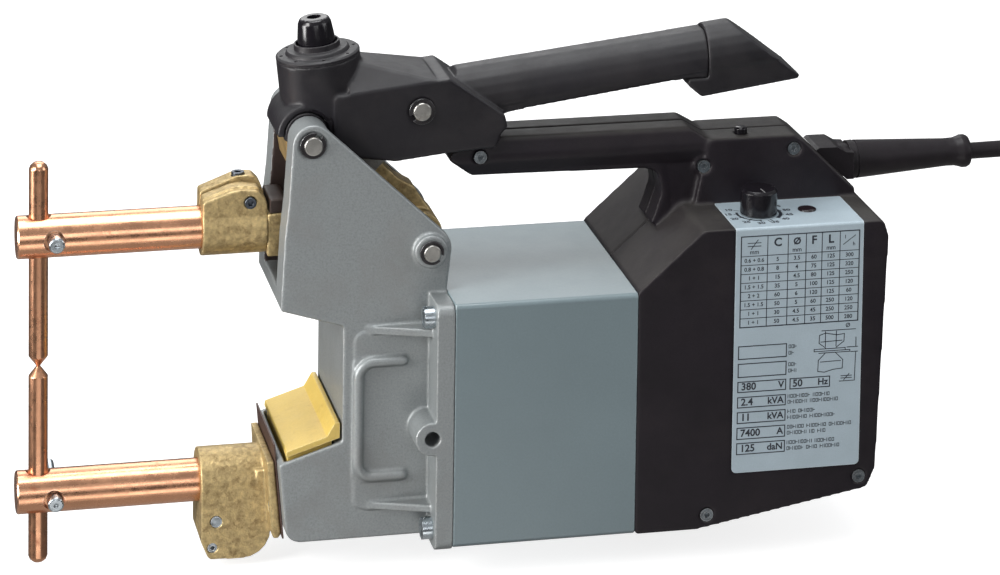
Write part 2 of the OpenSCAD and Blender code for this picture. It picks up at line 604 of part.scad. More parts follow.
// ---- transformer ----------------------------------------------------------------
core_bolt_x = [224, 288];
core_bolt_z = [-63.5, 13.5];
casing_bottom = -89.4;
casing_top = 39.5;
module transformer_core() color([0.30, 0.30, 0.32]) difference() {
  box([218, -35, -70], [294, 35, 20]);
  box([232, -40, -56], [280, 40, -39]);
  box([232, -40, -11], [280, 40, 6]);
  for (x = core_bolt_x, z = core_bolt_z) cyl_y([x, z], 2.6, -40, 40);
}
module primary_coils() color([0.55, 0.22, 0.10]) for (x = [233, 263]) difference() {
  prism(rounded([[x, -55.6], [x+16, -55.6], [x+16, 5.6], [x, 5.6]], 1.5, 3), -49, 49);
  box([x-1, -36, -39.6], [x+17, 36, -10.4]);
}
module core_bolts() color([0.6, 0.62, 0.64]) for (x = core_bolt_x, z = core_bolt_z) {
  cyl_y([x, z], 2.5, -38, 38);
  for (side = [-1, 1]) translate([x, side*37.4, z]) rotate([90, 0, 0])
    cylinder(r = 4.4, h = 4.6, center = true, $fn = 6);
}
// casing section in [y, z], shrunk by inset
function casing_section(inset, r, steps) =
  let (y = body_y-inset, low = casing_bottom+inset, high = casing_top-inset)
  rounded([[-y, low], [y, low], [y, high], [-y, high]], r, steps);
module transformer_casing() color([0.50, 0.56, 0.58])
  translate([207.35, 0, 0]) rotate([90, 0, 90]) difference() {
    linear_extrude(96.6) polygon(casing_section(0, 2.6, 4));
    translate([0, 0, -1]) linear_extrude(99) polygon(casing_section(sheet, 1, 3));
  }
// slotted screws, each with a round nut behind the flange
module flange_screws() color(screw_steel) both_sides() for (z = flange_screw_z) {
  axis = [flange_screw_y, z];
  difference() {
    union() {
      cyl_x(axis, 3, 197, 212);
      cyl_x(axis, 5.6, 192.4, 197.95);
    }
    translate([190, flange_screw_y-0.8, z-7]) cube([4, 1.6, 14]);
  }
  cyl_x(axis, 5.2, 209.0, 212);
}

// ---- rear housing ---------------------------------------------------------------
shell_screws = [[425.5, -67.2], [342.8, -82]];                // [x, z]
handle_screws = [[399.6, 98], [349.9, 91], [228.6, 102.6]];  // [x, z]
gland_z = 84.6;             // height of the cable opening
button = [372.3, -8.6];     // [x, y]
knob = [374.2, -38];        // [x, y]
lens = [401.3, -36.5];      // [x, y]
panel_front = 355.7;
panel_back = 425.2;

// side outlines in [x, z], each with its corner radii
shell_outline = rounded([[304, -89.4], [338, -89.4], [430, -73.6], [434.6, -63],
  [439.3, 62], [436.5, 70.6], [338.5, 70.6], [304, 40]],
  [1.5, 4, 5, 3, 5, 3, 6, 1.5], 4);
handle_outline = rounded([[211.5, 102], [214, 106], [228, 112], [342, 112],
  [352.5, 105.6], [400, 105.6], [406, 101.5], [432, 74.5], [432, 60], [322, 60],
  [324.5, 66], [328, 77], [325.5, 88.5], [318, 90.6], [224.5, 92]],
  [2, 2, 5, 2, 2, 3, 3, 0, 0, 0, 5, 8, 6, 3, 4], 4);

module half_handle() intersection() {
  translate([200, 0, 0]) rotate([90, 0, 90]) linear_extrude(240)
    polygon([[-0.01, 40], [14, 40], [14, 93], [16.8, 100], [16.8, 103.5],
      [15, 110.5], [13.4, 112], [-0.01, 112]]);
  prism(handle_outline, 0.02, 30);
}
module half_shell() difference() {
  union() {
    prism(shell_outline, 0.02, body_y);
    half_handle();
    // spine behind the handle
    prism(rounded([[345, 70], [352.5, 105.6], [400, 105.6], [406, 101.5],
      [434, 74.5], [434, 70]], [0, 2, 3, 3, 0, 0], 4), 0.02, 18);
  }
  // hollows of the shell and of the handle
  prism([[302, -86.4], [338, -86.6], [428.5, -70.9], [431.9, -62], [436.6, 62],
    [434.6, 67.8], [339.5, 67.8], [306, 38], [302, 38]], -1, body_y-wall);
  prism([[242, 95], [242, 108.8], [341, 108.8], [352, 102.7], [398.8, 102.7],
    [404.5, 99.5], [428, 75], [428, 60], [332, 60], [331.5, 78], [328, 92],
    [322, 94.8]], -1, 13.2);
  // cable opening
  cyl_x([0, gland_z], 9.0, 405, 445);
}
module button_hole() cyl_z(button, button_d/2+0.1, 90, 120);
module panel_holes() {
  cyl_z(knob, 3.6, 60, 80);
  cyl_z(lens, 4.3, 60, 80);
}
module rear_housing_left() color(housing_black) difference() {
  union() {
    mirror([0, 1, 0]) half_shell();
    for (p = shell_screws) cyl_y(p, 4.6, -body_y+1, -0.02);
    for (p = handle_screws) cyl_y(p, 4.6, -16, -0.02);
  }
  for (p = concat(shell_screws, handle_screws)) cyl_y(p, 2.1, -body_y-1, 1);
  for (p = shell_screws) cyl_y(p, 3.7, -body_y-1, -body_y+3.1);
  for (p = handle_screws) cyl_y(p, 3.6, -body_y-1, -14.3);
  button_hole();
  panel_holes();
  // field for the control panel, down the side and over the top
  x0 = panel_front-0.5;
  x1 = panel_back+0.5;
  prism([[x0, -60.9], [x1, -60.9], [x1, 75], [x0, 75]], -body_y-1, -body_y+0.35);
  box([x0, -body_y-1, 70.25], [x1, -18.2, 75]);
  box([x0, -body_y-1, 68.9], [x1, -body_y+0.95, 75]);
}
module rear_housing_right() color(housing_black) difference() {
  union() {
    half_shell();
    for (p = shell_screws) cyl_y(p, 4.6, 0.02, 20);
    for (p = handle_screws) cyl_y(p, 4.6, 0.02, 14);
  }
  for (p = concat(shell_screws, handle_screws)) cyl_y(p, 2.1, -1, 12);
  button_hole();
}
module cap_screw(p, y, length, head_r) along_y(p, y) difference() {
  union() {
    cylinder(r = head_r, h = 2.9);
    cylinder(r = 2.0, h = length);
  }
  hex_socket(1.7, 2.8);
}
module housing_screws() color([0.66, 0.68, 0.68]) {
  for (p = shell_screws) cap_screw(p, -body_y+0.1, body_y+11, 3.5);
  for (p = handle_screws) cap_screw(p, -17.3, 28, 3.4);
}

// ---- controls -------------------------------------------------------------------
module weld_button() color([0.07, 0.07, 0.08]) {
  r = button_d/2;
  along_z(button, 0) rotate_extrude() polygon([[0, 93.5], [1.4, 93.5], [1.4, 99.4],
    [r+0.9, 99.4], [r+0.9, 100.4], [r, 100.4], [r, 108.2], [r-0.8, 109], [0, 109.2]]);
}
module button_spring() color(plain_steel) along_z(button, 93.6)
  coil(r = 2.4, wire_r = 0.35, pitch = 1.9, turns = 2.8, steps = 14, sides = 5);
module microswitch() color([0.10, 0.10, 0.11]) difference() {
  union() {
    box([360, -13, 79], [382, -2.8, 90.2]);
    box([362.5, -10, 90.1], [380, -8.6, 90.8]);
    // terminals
    for (x = [363, 371, 379]) box([x-1, -9, 73], [x+1, -7.5, 79.1]);
    // cup for the button spring
    along_z(button, 90) difference() {
      cylinder(r = 3.2, h = 3.2);
      translate([0, 0, 0.9]) cylinder(r = 1.75, h = 4);
    }
  }
  for (x = [364, 378]) cyl_y([x, 82], 1.2, -20, 20);
}
// side plate and top plate joined by a quarter-round bend
module control_panel() color([0.64, 0.72, 0.78]) {
  x0 = panel_front;
  x1 = panel_back;
  bend = [-body_y+1.25, 69.4]; // [y, z]
  difference() {
    union() {
      prism(rounded([[x0, -60.4], [x1, -60.4], [x1, 69.3], [x0, 69.3]],
        [2.5, 2.5, 0, 0]), -body_y-0.25, -body_y+0.3);
      prism([[x0, 70.3], [x1, 70.3], [x1, 70.9], [x0, 70.9]], -body_y+1, -18.4);
      cyl_x(bend, 1.5, x0, x1);
    }
    // leave only the outer quarter of the bend
    cyl_x(bend, 0.9, 350, 430);
    box([350, -body_y+0.3, 60], [430, bend[0], 70.3]);
    box([350, -body_y+0.9, 60], [430, -body_y+3, 70.3]);
    panel_holes();
  }
}
module timer_knob() color([0.05, 0.05, 0.06]) {
  r = timer_knob_d/2;
  along_z(knob, 0) difference() {
    union() {
      rotate_extrude()
        polygon([[0, 71.6], [r, 71.6], [r, 83.4], [r-1.2, 84.8], [0, 84.8]]);
      cylinder(r = 3, h = 71.7);
      translate([0, 0, 62]) cylinder(r = 2.95, h = 10);
    }
    translate([0, 0, -1]) cylinder(r = 20, h = 62);
    // pointer groove
    translate([r-2.6, -0.6, 84.2]) cube([5, 1.2, 2]);
  }
}
module timer_potentiometer() color([0.35, 0.36, 0.38]) along_z(knob, 0) difference() {
  rotate_extrude() polygon([[0, 50], [10.4, 50], [11.5, 51], [11.5, 60.8],
    [4.8, 60.8], [4.8, 62.6], [3.5, 62.6], [3.5, 67.6], [0, 67.6]]);
  translate([0, 0, 60.7]) cylinder(r = 3.06, h = 20);
}
module timer_board() color([0.10, 0.30, 0.16]) {
  box([350, -50, 44], [425, -8, 45.6]);
  for (x = [356, 372, 392, 410]) box([x, -46+x/40, 45.5], [x+9, -36+x/40, 48.8]);
  cyl_z([362, -20], 5, 45.5, 58);
  cyl_z([408, -20], 6, 45.5, 61);
  box([384, -26, 45.5], [400, -14, 58]);
}
module pilot_lens() color([0.06, 0.05, 0.06]) along_z(lens, 0) rotate_extrude()
  polygon([[0, 62.4], [4.2, 62.4], [4.2, 70.95], [5.0, 70.95], [4.8, 71.6],
    [3.2, 72.1], [0, 72.3]]);
module terminal_strip() color([0.80, 0.78, 0.70]) difference() {
  box([312, -20, 4], [326, 30, 18]);
  for (y = [-14:12:22]) {
    cyl_z([316, y], 2.2, 10, 20);
    cyl_x([y, 10], 1.8, 300, 340);
  }
}

// ---- cable ----------------------------------------------------------------------
cable_turn = 89.3; // from +Z toward +X; the cable rises slightly to the rear
module cable_clamp() color([0.2, 0.2, 0.2]) difference() {
  box([404.5, -10.5, 77], [411, 10.5, 91.3]);
  cyl_x([0, gland_z-0.2], 5.15, 400, 420);
  both_sides() cyl_z([407.8, 8], 1.6, 70, 100);
}
module cable_boot() color([0.13, 0.11, 0.12]) difference() {
  union() {
    // tapering sleeve
    translate([427, 0, gland_z]) rotate([0, 89, 0]) rotate_extrude()
      polygon([[5.0, 0], [8.8, 0], [8.8, 7.4], [10.2, 7.4], [10.3, 10.8], [9.5, 11],
        [9.5, 12], [10.2, 12.2], [8.9, 36], [7.4, 63], [7.5, 68], [8.2, 70.6],
        [8.8, 72.2], [8.8, 74.4], [8.0, 76], [6.8, 76.6], [5.0, 76.6]]);
    // gland block on the slope of the spine
    difference() {
      prism(rounded([[413.6, 94.5], [415.4, 95.7], [425.5, 95.6], [430.5, 92.6],
        [435, 92.2], [435, 77.6], [431.1, 77.6]], [0, 0.6, 2, 2, 0, 0, 0], 4),
        -11.8, 11.8);
      cyl_x([0, gland_z], 5.1, 400, 440);
    }
  }
  translate([400, 0, gland_z-0.3]) rotate([0, cable_turn, 0])
    cylinder(r = 5.04, h = 130);
}
module supply_cable() color([0.15, 0.13, 0.14])
  translate([400, 0, gland_z-0.3]) rotate([0, cable_turn, 0]) {
    cylinder(r = 5, h = 104);
    translate([0, 0, 103]) cylinder(r = 4.4, h = 20);
    // cores at the front end
    for (a = [20:90:290]) rotate([0, 0, a]) translate([2.2, 0, -14])
      cylinder(r = 1.3, h = 14.5);
  }

upper_electrode();
lower_electrode();
upper_arm();
lower_arm();
upper_electrode_bolt();
lower_electrode_bolt();
upper_arm_holder();
lower_arm_holder();
upper_holder_screws();
lower_holder_screws();
lower_holder_studs();
flange_insulator();
terminal_cover();
front_casting();
arm_lever();
stop_buffer();
arm_pivot_pin();
lever_pivot_pin();
frame_pin_rings();
link_pin();
link_pin_rings();
lower_link_pin();
lower_link_rings();
link_plates();
rocker();
rod_pin();
hand_lever();
grip_end();
spring_cap();
pull_rod();
force_knob();
spring_seat();
pressure_spring();
return_spring();
copper_shunt();
shunt_bolts_arm();
shunt_bolts_frame();
lower_busbar();
secondary_winding();
transformer_core();
primary_coils();
core_bolts();
transformer_casing();
flange_screws();
rear_housing_left();
rear_housing_right();
housing_screws();
weld_button();
button_spring();
microswitch();
control_panel();
timer_knob();
timer_potentiometer();
timer_board();
pilot_lens();
terminal_strip();
cable_clamp();
cable_boot();
supply_cable();
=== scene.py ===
import json
import math
import bpy
import bmesh
import numpy as np
from mathutils import Matrix, Vector

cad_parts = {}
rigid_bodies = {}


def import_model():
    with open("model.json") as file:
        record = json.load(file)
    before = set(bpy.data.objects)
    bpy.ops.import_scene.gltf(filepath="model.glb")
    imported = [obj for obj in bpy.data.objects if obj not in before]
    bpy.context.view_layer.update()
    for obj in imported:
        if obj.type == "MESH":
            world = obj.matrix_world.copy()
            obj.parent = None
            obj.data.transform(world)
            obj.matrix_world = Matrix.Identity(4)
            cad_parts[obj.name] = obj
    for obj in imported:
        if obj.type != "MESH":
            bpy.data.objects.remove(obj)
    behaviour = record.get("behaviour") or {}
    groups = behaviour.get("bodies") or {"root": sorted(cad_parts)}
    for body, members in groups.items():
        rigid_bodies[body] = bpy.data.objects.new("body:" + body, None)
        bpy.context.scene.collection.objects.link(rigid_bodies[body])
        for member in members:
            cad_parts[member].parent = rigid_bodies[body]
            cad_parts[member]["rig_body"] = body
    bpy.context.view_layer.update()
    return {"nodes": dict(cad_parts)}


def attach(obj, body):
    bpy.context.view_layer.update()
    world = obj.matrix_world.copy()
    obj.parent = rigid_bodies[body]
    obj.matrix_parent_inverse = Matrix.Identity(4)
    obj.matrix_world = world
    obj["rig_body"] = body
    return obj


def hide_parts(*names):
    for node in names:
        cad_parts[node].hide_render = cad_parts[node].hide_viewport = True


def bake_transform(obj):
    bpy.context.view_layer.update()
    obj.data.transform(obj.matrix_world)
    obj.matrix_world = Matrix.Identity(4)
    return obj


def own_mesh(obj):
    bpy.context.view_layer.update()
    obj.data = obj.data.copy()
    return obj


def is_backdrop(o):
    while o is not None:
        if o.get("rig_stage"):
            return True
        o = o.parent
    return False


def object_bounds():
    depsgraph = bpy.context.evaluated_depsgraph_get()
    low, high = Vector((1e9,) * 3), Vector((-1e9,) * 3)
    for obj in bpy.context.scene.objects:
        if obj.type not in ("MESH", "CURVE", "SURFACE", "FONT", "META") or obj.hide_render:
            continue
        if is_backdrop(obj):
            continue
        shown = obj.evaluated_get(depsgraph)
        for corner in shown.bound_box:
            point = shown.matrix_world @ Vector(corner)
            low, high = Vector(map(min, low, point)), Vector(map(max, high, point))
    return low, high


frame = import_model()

NODES = frame["nodes"]
MM = 0.001
scene = bpy.context.scene
P1, P2, P3, P4 = (136.3, 120.5), (198.0, 62.0), (195.9, 131.0), (162.0, 95.0)
TILT = math.radians(6.65)


# ------------------------------------------------------------- materials
class Tree:
    """Small helper that wires shader nodes."""

    def __init__(self, name):
        self.m = bpy.data.materials.new(name)
        self.m.use_nodes = True
        self.t = self.m.node_tree
        self.t.nodes.clear()
        self.out = self.n("ShaderNodeOutputMaterial")
        self.b = self.n("ShaderNodeBsdfPrincipled")
        self.link(self.b.outputs["BSDF"], self.out.inputs["Surface"])
        self.tc = self.n("ShaderNodeTexCoord")

    def n(self, kind, **kw):
        node = self.t.nodes.new(kind)
        for k, v in kw.items():
            setattr(node, k, v)
        return node

    def link(self, a, b):
        self.t.links.new(a, b)

    def mapped(self, scale=(1, 1, 1), rot=(0, 0, 0), loc=(0, 0, 0)):
        mp = self.n("ShaderNodeMapping")
        mp.inputs["Scale"].default_value = scale
        mp.inputs["Rotation"].default_value = rot
        mp.inputs["Location"].default_value = loc
        self.link(self.tc.outputs["Object"], mp.inputs["Vector"])
        return mp.outputs["Vector"]

    def noise(self, scale, detail=4.0, rough=0.55, vec=None, dist=0.0):
        nz = self.n("ShaderNodeTexNoise")
        nz.inputs["Scale"].default_value = scale
        nz.inputs["Detail"].default_value = detail
        nz.inputs["Roughness"].default_value = rough
        nz.inputs["Distortion"].default_value = dist
        self.link(vec or self.tc.outputs["Object"], nz.inputs["Vector"])
        return nz.outputs["Fac"]

    def range(self, val, a, b, c=0.0, d=1.0):
        r = self.n("ShaderNodeMapRange")
        r.clamp = True
        for i, x in zip(("From Min", "From Max", "To Min", "To Max"), (a, b, c, d)):
            r.inputs[i].default_value = x
        self.link(val, r.inputs["Value"])
        return r.outputs["Result"]

    def mix(self, fac, a, b):
        mx = self.n("ShaderNodeMix", data_type="RGBA")
        if isinstance(fac, (int, float)):
            mx.inputs[0].default_value = fac
        else:
            self.link(fac, mx.inputs[0])
        for sock, v in ((mx.inputs[6], a), (mx.inputs[7], b)):
            if isinstance(v, tuple):
                sock.default_value = (*v, 1)
            else:
                self.link(v, sock)
        return mx.outputs[2]

    def math(self, op, a, b=None, clamp=False):
        mt = self.n("ShaderNodeMath", operation=op)
        mt.use_clamp = clamp
        for i, v in enumerate((a, b)):
            if v is None:
                continue
            if isinstance(v, (int, float)):
                mt.inputs[i].default_value = v
            else:
                self.link(v, mt.inputs[i])
        return mt.outputs[0]

    def bump(self, height, amp, prev=None, strength=1.0):
        bp = self.n("ShaderNodeBump")
        bp.inputs["Strength"].default_value = strength
        bp.inputs["Distance"].default_value = amp
        self.link(height, bp.inputs["Height"])
        if prev is not None:
            self.link(prev, bp.inputs["Normal"])
        return bp.outputs["Normal"]

    def edges(self, radius, lo=0.0, hi=0.12):
        """1 on sharp outer edges, 0 on flats."""
        bv = self.n("ShaderNodeBevel")
        bv.samples = 4
        bv.inputs["Radius"].default_value = radius
        geo = self.n("ShaderNodeNewGeometry")
        dp = self.n("ShaderNodeVectorMath", operation="DOT_PRODUCT")
        self.link(bv.outputs["Normal"], dp.inputs[0])
        self.link(geo.outputs["Normal"], dp.inputs[1])
        inv = self.math("SUBTRACT", 1.0, dp.outputs["Value"])
        return self.range(inv, lo, hi)


def up(c, k):
    return tuple(min(1.0, x * k) for x in c)


def make(name, col, rough=0.5, metal=0.0, dark=0.8, light=1.2, vs=45.0, rvar=0.1, rs=90.0, grain=0.0, gs=1800.0,
         lumps=0.0, ls=260.0, streak=None, stain=None, stain_s=70.0, stain_at=(0.55, 0.72), wear=None, wear_r=0.0007,
         coat=0.0, spec=0.5, scratches=0.0, seed=0.0, aniso=0.0, dust_and_top_sheen=None):
    t = Tree(name)
    base = t.mix(t.range(t.noise(vs, 5, 0.6, t.mapped(loc=(seed, seed * 2, 0))), 0.3, 0.7), up(col, dark), up(col, light))
    speck = t.noise(gs * 0.6, 2, 0.5)
    base = t.mix(t.range(speck, 0.35, 0.75, 0.0, 0.28), base, up(col, dark * 0.8))
    rough_v = t.range(t.noise(rs, 4, 0.6, t.mapped(loc=(1.3 + seed, 0, 2))), 0.25, 0.75, rough - rvar, rough + rvar)
    nrm = None
    if stain is not None:
        f = t.range(t.noise(stain_s, 6, 0.65, t.mapped(loc=(5 + seed, 1, 3)), 0.4), stain_at[0], stain_at[1])
        base = t.mix(f, base, stain)
        rough_v = t.math("ADD", rough_v, t.math("MULTIPLY", f, 0.12), True)
    if streak is not None:
        axis, amt = streak
        sc = [900.0, 900.0, 900.0]
        sc[axis] = 9.0
        s = t.noise(1.0, 4, 0.7, t.mapped(scale=tuple(sc)))
        base = t.mix(t.range(s, 0.3, 0.7, 0, amt), base, up(col, dark * 0.62))
        rough_v = t.math("ADD", rough_v, t.math("MULTIPLY", t.range(s, 0.3, 0.7, -0.5, 0.5), 0.10), True)
        nrm = t.bump(s, 0.000008, nrm)
    if lumps:
        nrm = t.bump(t.noise(ls, 3, 0.5, t.mapped(loc=(seed, 2, 7))), lumps, nrm)
    if grain:
        nrm = t.bump(t.noise(gs, 3, 0.6), grain, nrm)
    if scratches:
        w = t.n("ShaderNodeTexWave")
        w.inputs["Scale"].default_value = 130
        w.inputs["Distortion"].default_value = 38
        w.inputs["Detail"].default_value = 3
        w.inputs["Detail Scale"].default_value = 0.6
        t.link(t.mapped(scale=(1, 1, 1), rot=(0.4, 0.9, 0.3)), w.inputs["Vector"])
        sc = t.math("MULTIPLY", t.range(w.outputs["Fac"], 0.985, 1.0), t.range(t.noise(34, 2, 0.5), 0.5, 0.62))
        base = t.mix(t.math("MULTIPLY", sc, scratches), base, up(col, 2.2))
    # up-facing faces lightened: partly settled dust, partly a painted sheen standing in for the top light
    if dust_and_top_sheen is not None:
        geo = t.n("ShaderNodeNewGeometry")
        sep = t.n("ShaderNodeSeparateXYZ")
        t.link(geo.outputs["Normal"], sep.inputs[0])
        settled_dust_and_top_sheen = t.math("MULTIPLY", t.range(sep.outputs["Z"], 0.25, 0.95), t.range(t.noise(60, 5, 0.65), 0.25, 0.70, 0.45, 1.0))
        base = t.mix(settled_dust_and_top_sheen, base, dust_and_top_sheen)
        rough_v = t.math("ADD", rough_v, t.math("MULTIPLY", settled_dust_and_top_sheen, 0.10), True)
    if wear is not None:
        e = t.edges(wear_r)
        worn = t.math("MULTIPLY", e, t.range(t.noise(420, 4, 0.7), 0.34, 0.58), True)
        base = t.mix(worn, base, wear)
        rough_v = t.math("SUBTRACT", rough_v, t.math("MULTIPLY", worn, 0.15), True)
    t.link(base, t.b.inputs["Base Color"])
    t.link(rough_v, t.b.inputs["Roughness"])
    t.b.inputs["Metallic"].default_value = metal
    t.b.inputs["Specular IOR Level"].default_value = spec
    t.b.inputs["Coat Weight"].default_value = coat
    t.b.inputs["Coat Roughness"].default_value = 0.18
    if aniso:
        t.b.inputs["Anisotropic"].default_value = aniso
    if nrm is not None:
        t.link(nrm, t.b.inputs["Normal"])
    return t.m


COPPER = (0.87, 0.455, 0.27)
BRASS = (0.56, 0.42, 0.20)
M = {
    "copper_x": make("copper_bar", COPPER, 0.27, 1.0, 0.82, 1.1, 30, 0.08, 140, streak=(0, 0.2), stain=(0.50, 0.17, 0.09),
                     stain_s=90, stain_at=(0.62, 0.78), wear=(1.0, 0.72, 0.58), wear_r=0.0006),
    "copper_z": make("copper_electrode", up(COPPER, 0.97), 0.30, 1.0, 0.80, 1.08, 30, 0.08, 140, streak=(2, 0.3),
                     stain=(0.46, 0.16, 0.09), stain_s=110, stain_at=(0.58, 0.76), wear=(1.0, 0.70, 0.55), wear_r=0.0005),
    "copper": make("copper_strip", COPPER, 0.33, 1.0, 0.75, 1.1, 60, 0.1, 140, stain=(0.40, 0.15, 0.08), stain_s=80),
    "cast_brass": make("cast_brass", BRASS, 0.44, 0.62, 0.66, 1.20, 330, 0.10, 260, grain=0.00011, gs=1300, lumps=0.00028,
                       ls=460, stain=(0.25, 0.17, 0.075), stain_s=260, stain_at=(0.50, 0.72), wear=(0.98, 0.80, 0.44), wear_r=0.0012),
    "bronze": make("bronze", (0.52, 0.36, 0.15), 0.44, 0.7, 0.7, 1.15, 100, 0.08, 120, grain=0.00006, gs=1700, lumps=0.00012,
                   stain=(0.20, 0.12, 0.05), stain_s=120, stain_at=(0.5, 0.8), wear=(0.95, 0.72, 0.38), wear_r=0.001),
    "cast_aluminium": make("cast_aluminium", (0.300, 0.322, 0.326), 0.46, 0.45, 0.78, 1.20, 900, 0.06, 120, grain=0.00010, gs=1500,
                           lumps=0.00004, ls=600, stain=(0.27, 0.275, 0.27), stain_s=30, stain_at=(0.50, 0.8),
                           wear=(0.78, 0.79, 0.78), wear_r=0.0010),
    # inner faces of the ears: dark paint, darkened further as painted shade between the ears
    "ear_dark_paint_and_painted_shade": make("ear_inside_dark_paint_and_painted_shade", (0.040, 0.026, 0.024), 0.55, 0.0, 0.8, 1.3, 90, grain=0.00005, gs=1500, wear=(0.10, 0.08, 0.07)),
    "zinc": make("zinc_plate", (0.56, 0.62, 0.66), 0.28, 1.0, 0.75, 1.12, 160, 0.08, 300, grain=0.00001, gs=3000,
                 stain=(0.30, 0.34, 0.36), stain_s=260, wear=(0.9, 0.93, 0.95), wear_r=0.0004),
    "steel": make("ground_steel", (0.50, 0.49, 0.46), 0.33, 1.0, 0.75, 1.12, 120, 0.08, 260, grain=0.00001, gs=3000,
                  stain=(0.27, 0.24, 0.20), stain_s=200, wear=(0.85, 0.84, 0.80), wear_r=0.0005),
    "dull_zinc": make("dull_zinc", (0.30, 0.335, 0.36), 0.34, 1.0, 0.6, 1.2, 260, 0.08, 300, grain=0.00002, gs=2600,
                      stain=(0.12, 0.13, 0.14), stain_s=300, stain_at=(0.45, 0.70), wear=(0.92, 0.95, 0.97), wear_r=0.0006),
    "black_steel": make("blackened_steel", (0.10, 0.115, 0.14), 0.38, 1.0, 0.6, 1.3, 200, 0.08, 300, wear=(0.42, 0.45, 0.48), wear_r=0.0004),
    "spring_steel": make("spring_steel", (0.055, 0.052, 0.055), 0.36, 0.8, 0.6, 1.3, 200, 0.08, 300, wear=(0.42, 0.43, 0.44), wear_r=0.0004),
    "core_steel": make("core_laminations", (0.12, 0.12, 0.125), 0.5, 0.8, 0.7, 1.3, 100, 0.1, 100, streak=(0, 0.4)),
    "coil_wire": make("enamelled_winding", (0.36, 0.11, 0.035), 0.34, 0.2, 0.7, 1.3, 90, 0.1, 100, streak=(0, 0.6), coat=0.5),
    "painted_casing": make("blue_grey_paint", (0.170, 0.222, 0.240), 0.33, 0.0, 0.95, 1.05, 14, 0.05, 60, grain=0.000010, gs=1500,
                           lumps=0.000022, ls=300, scratches=0.05, wear=(0.42, 0.50, 0.51), wear_r=0.0009, coat=0.25),
    "panel_plate": make("label_plate", (0.43, 0.52, 0.575), 0.38, 0.15, 0.95, 1.05, 40, 0.06, 110, grain=0.000006, gs=2600,
                        wear=(0.80, 0.88, 0.94), wear_r=0.0006, scratches=0.06),
    # both black plastics get lighter up-facing faces: settled dust together with a painted sheen from the top light
    "black_plastic": make("grained_black_plastic", (0.0100, 0.0072, 0.0105), 0.44, 0.0, 0.8, 1.3, 26, 0.06, 120, grain=0.00007, gs=1300,
                          stain=(0.018, 0.0135, 0.016), stain_s=22, stain_at=(0.45, 0.85), scratches=0.03,
                          wear=(0.060, 0.050, 0.052), wear_r=0.0009, spec=0.30, dust_and_top_sheen=(0.046, 0.043, 0.040)),
    "lever_plastic": make("lever_black_plastic", (0.0100, 0.0088, 0.0115), 0.42, 0.0, 0.8, 1.3, 30, 0.07, 140, grain=0.00004, gs=1500,
                          stain=(0.021, 0.018, 0.020), stain_s=36, stain_at=(0.45, 0.85), scratches=0.05,
                          wear=(0.070, 0.064, 0.068), wear_r=0.0009, spec=0.38, dust_and_top_sheen=(0.040, 0.040, 0.042)),
    "gloss_black": make("glossy_black", (0.006, 0.005, 0.007), 0.2, 0.0, 0.9, 1.4, 90, 0.05, 260, scratches=0.04,
                        wear=(0.05, 0.048, 0.05), wear_r=0.0004, coat=0.15, spec=0.4),
    "white_plastic": make("pale_plastic", (0.70, 0.66, 0.56), 0.45, 0.0, 0.9, 1.05, 50, grain=0.00002),
    "laminate": make("pressed_sheet", (0.055, 0.026, 0.020), 0.5, 0.0, 0.7, 1.3, 90, grain=0.00003, wear=(0.15, 0.09, 0.07)),
    "yellow_insulation": make("yellow_insulation", (0.68, 0.485, 0.120), 0.44, 0.0, 0.94, 1.05, 50, 0.07, 120, grain=0.00003, gs=1500,
                              lumps=0.00006, ls=420, stain=(0.50, 0.335, 0.09), stain_s=80, stain_at=(0.56, 0.8),
                              wear=(0.93, 0.80, 0.42), wear_r=0.0009, coat=0.1),
    "dark_rubber": make("dark_rubber", (0.030, 0.018, 0.014), 0.5, 0.0, 0.7, 1.4, 80, grain=0.00004, wear=(0.12, 0.07, 0.05)),
    "black_rubber": make("black_rubber", (0.012, 0.0095, 0.0115), 0.44, 0.0, 0.8, 1.35, 50, 0.08, 160, grain=0.00003, gs=1600,
                         wear=(0.05, 0.045, 0.05), wear_r=0.0006, spec=0.26),
    "circuit_board": make("circuit_board", (0.015, 0.12, 0.04), 0.3, 0.0, 0.8, 1.2, 80, grain=0.00002),
    "lens": make("smoked_lens", (0.012, 0.006, 0.008), 0.16, 0.0, 0.8, 1.3, 120, coat=0.8),
    "ink": make("printed_ink", (0.022, 0.026, 0.036), 0.45, 0.0, 0.8, 1.5, 500, 0.08, 400),
    "white_ink": make("white_ink", (0.22, 0.22, 0.22), 0.5, 0.0, 0.9, 1.1, 300),
}


# ------------------------------------------------------------- mesh helpers
def bm_of(node):
    bm = bmesh.new()
    bm.from_mesh(NODES[node].data)
    bmesh.ops.remove_doubles(bm, verts=bm.verts, dist=2e-6)
    return bm


def new_obj(name, bm_or_mesh, material=None):
    if isinstance(bm_or_mesh, bmesh.types.BMesh):
        me = bpy.data.meshes.new(name)
        bm_or_mesh.to_mesh(me)
        bm_or_mesh.free()
    else:
        me = bm_or_mesh
    me.materials.clear()
    ob = bpy.data.objects.new(name, me)
    scene.collection.objects.link(ob)
    if material is not None:
        me.materials.append(material)
    return ob


def bake(ob, sharp=None):
    """Applies the modifiers and sets the shading."""
    dg = bpy.context.evaluated_depsgraph_get()
    me = bpy.data.meshes.new_from_object(ob.evaluated_get(dg), preserve_all_data_layers=True, depsgraph=dg)
    old = ob.data
    ob.modifiers.clear()
    ob.data = me
    if old.users == 0:
        bpy.data.meshes.remove(old)
    me.shade_smooth()
    if sharp is not None:
        me.set_sharp_from_angle(angle=math.radians(sharp))
    return ob


def finish_piece(ob, node=None, body=None, nodes=()):
    if node is not None:
        body = NODES[node]["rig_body"]
        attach(ob, body)
        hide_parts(node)
    elif body is not None:
        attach(ob, body)
    return ob


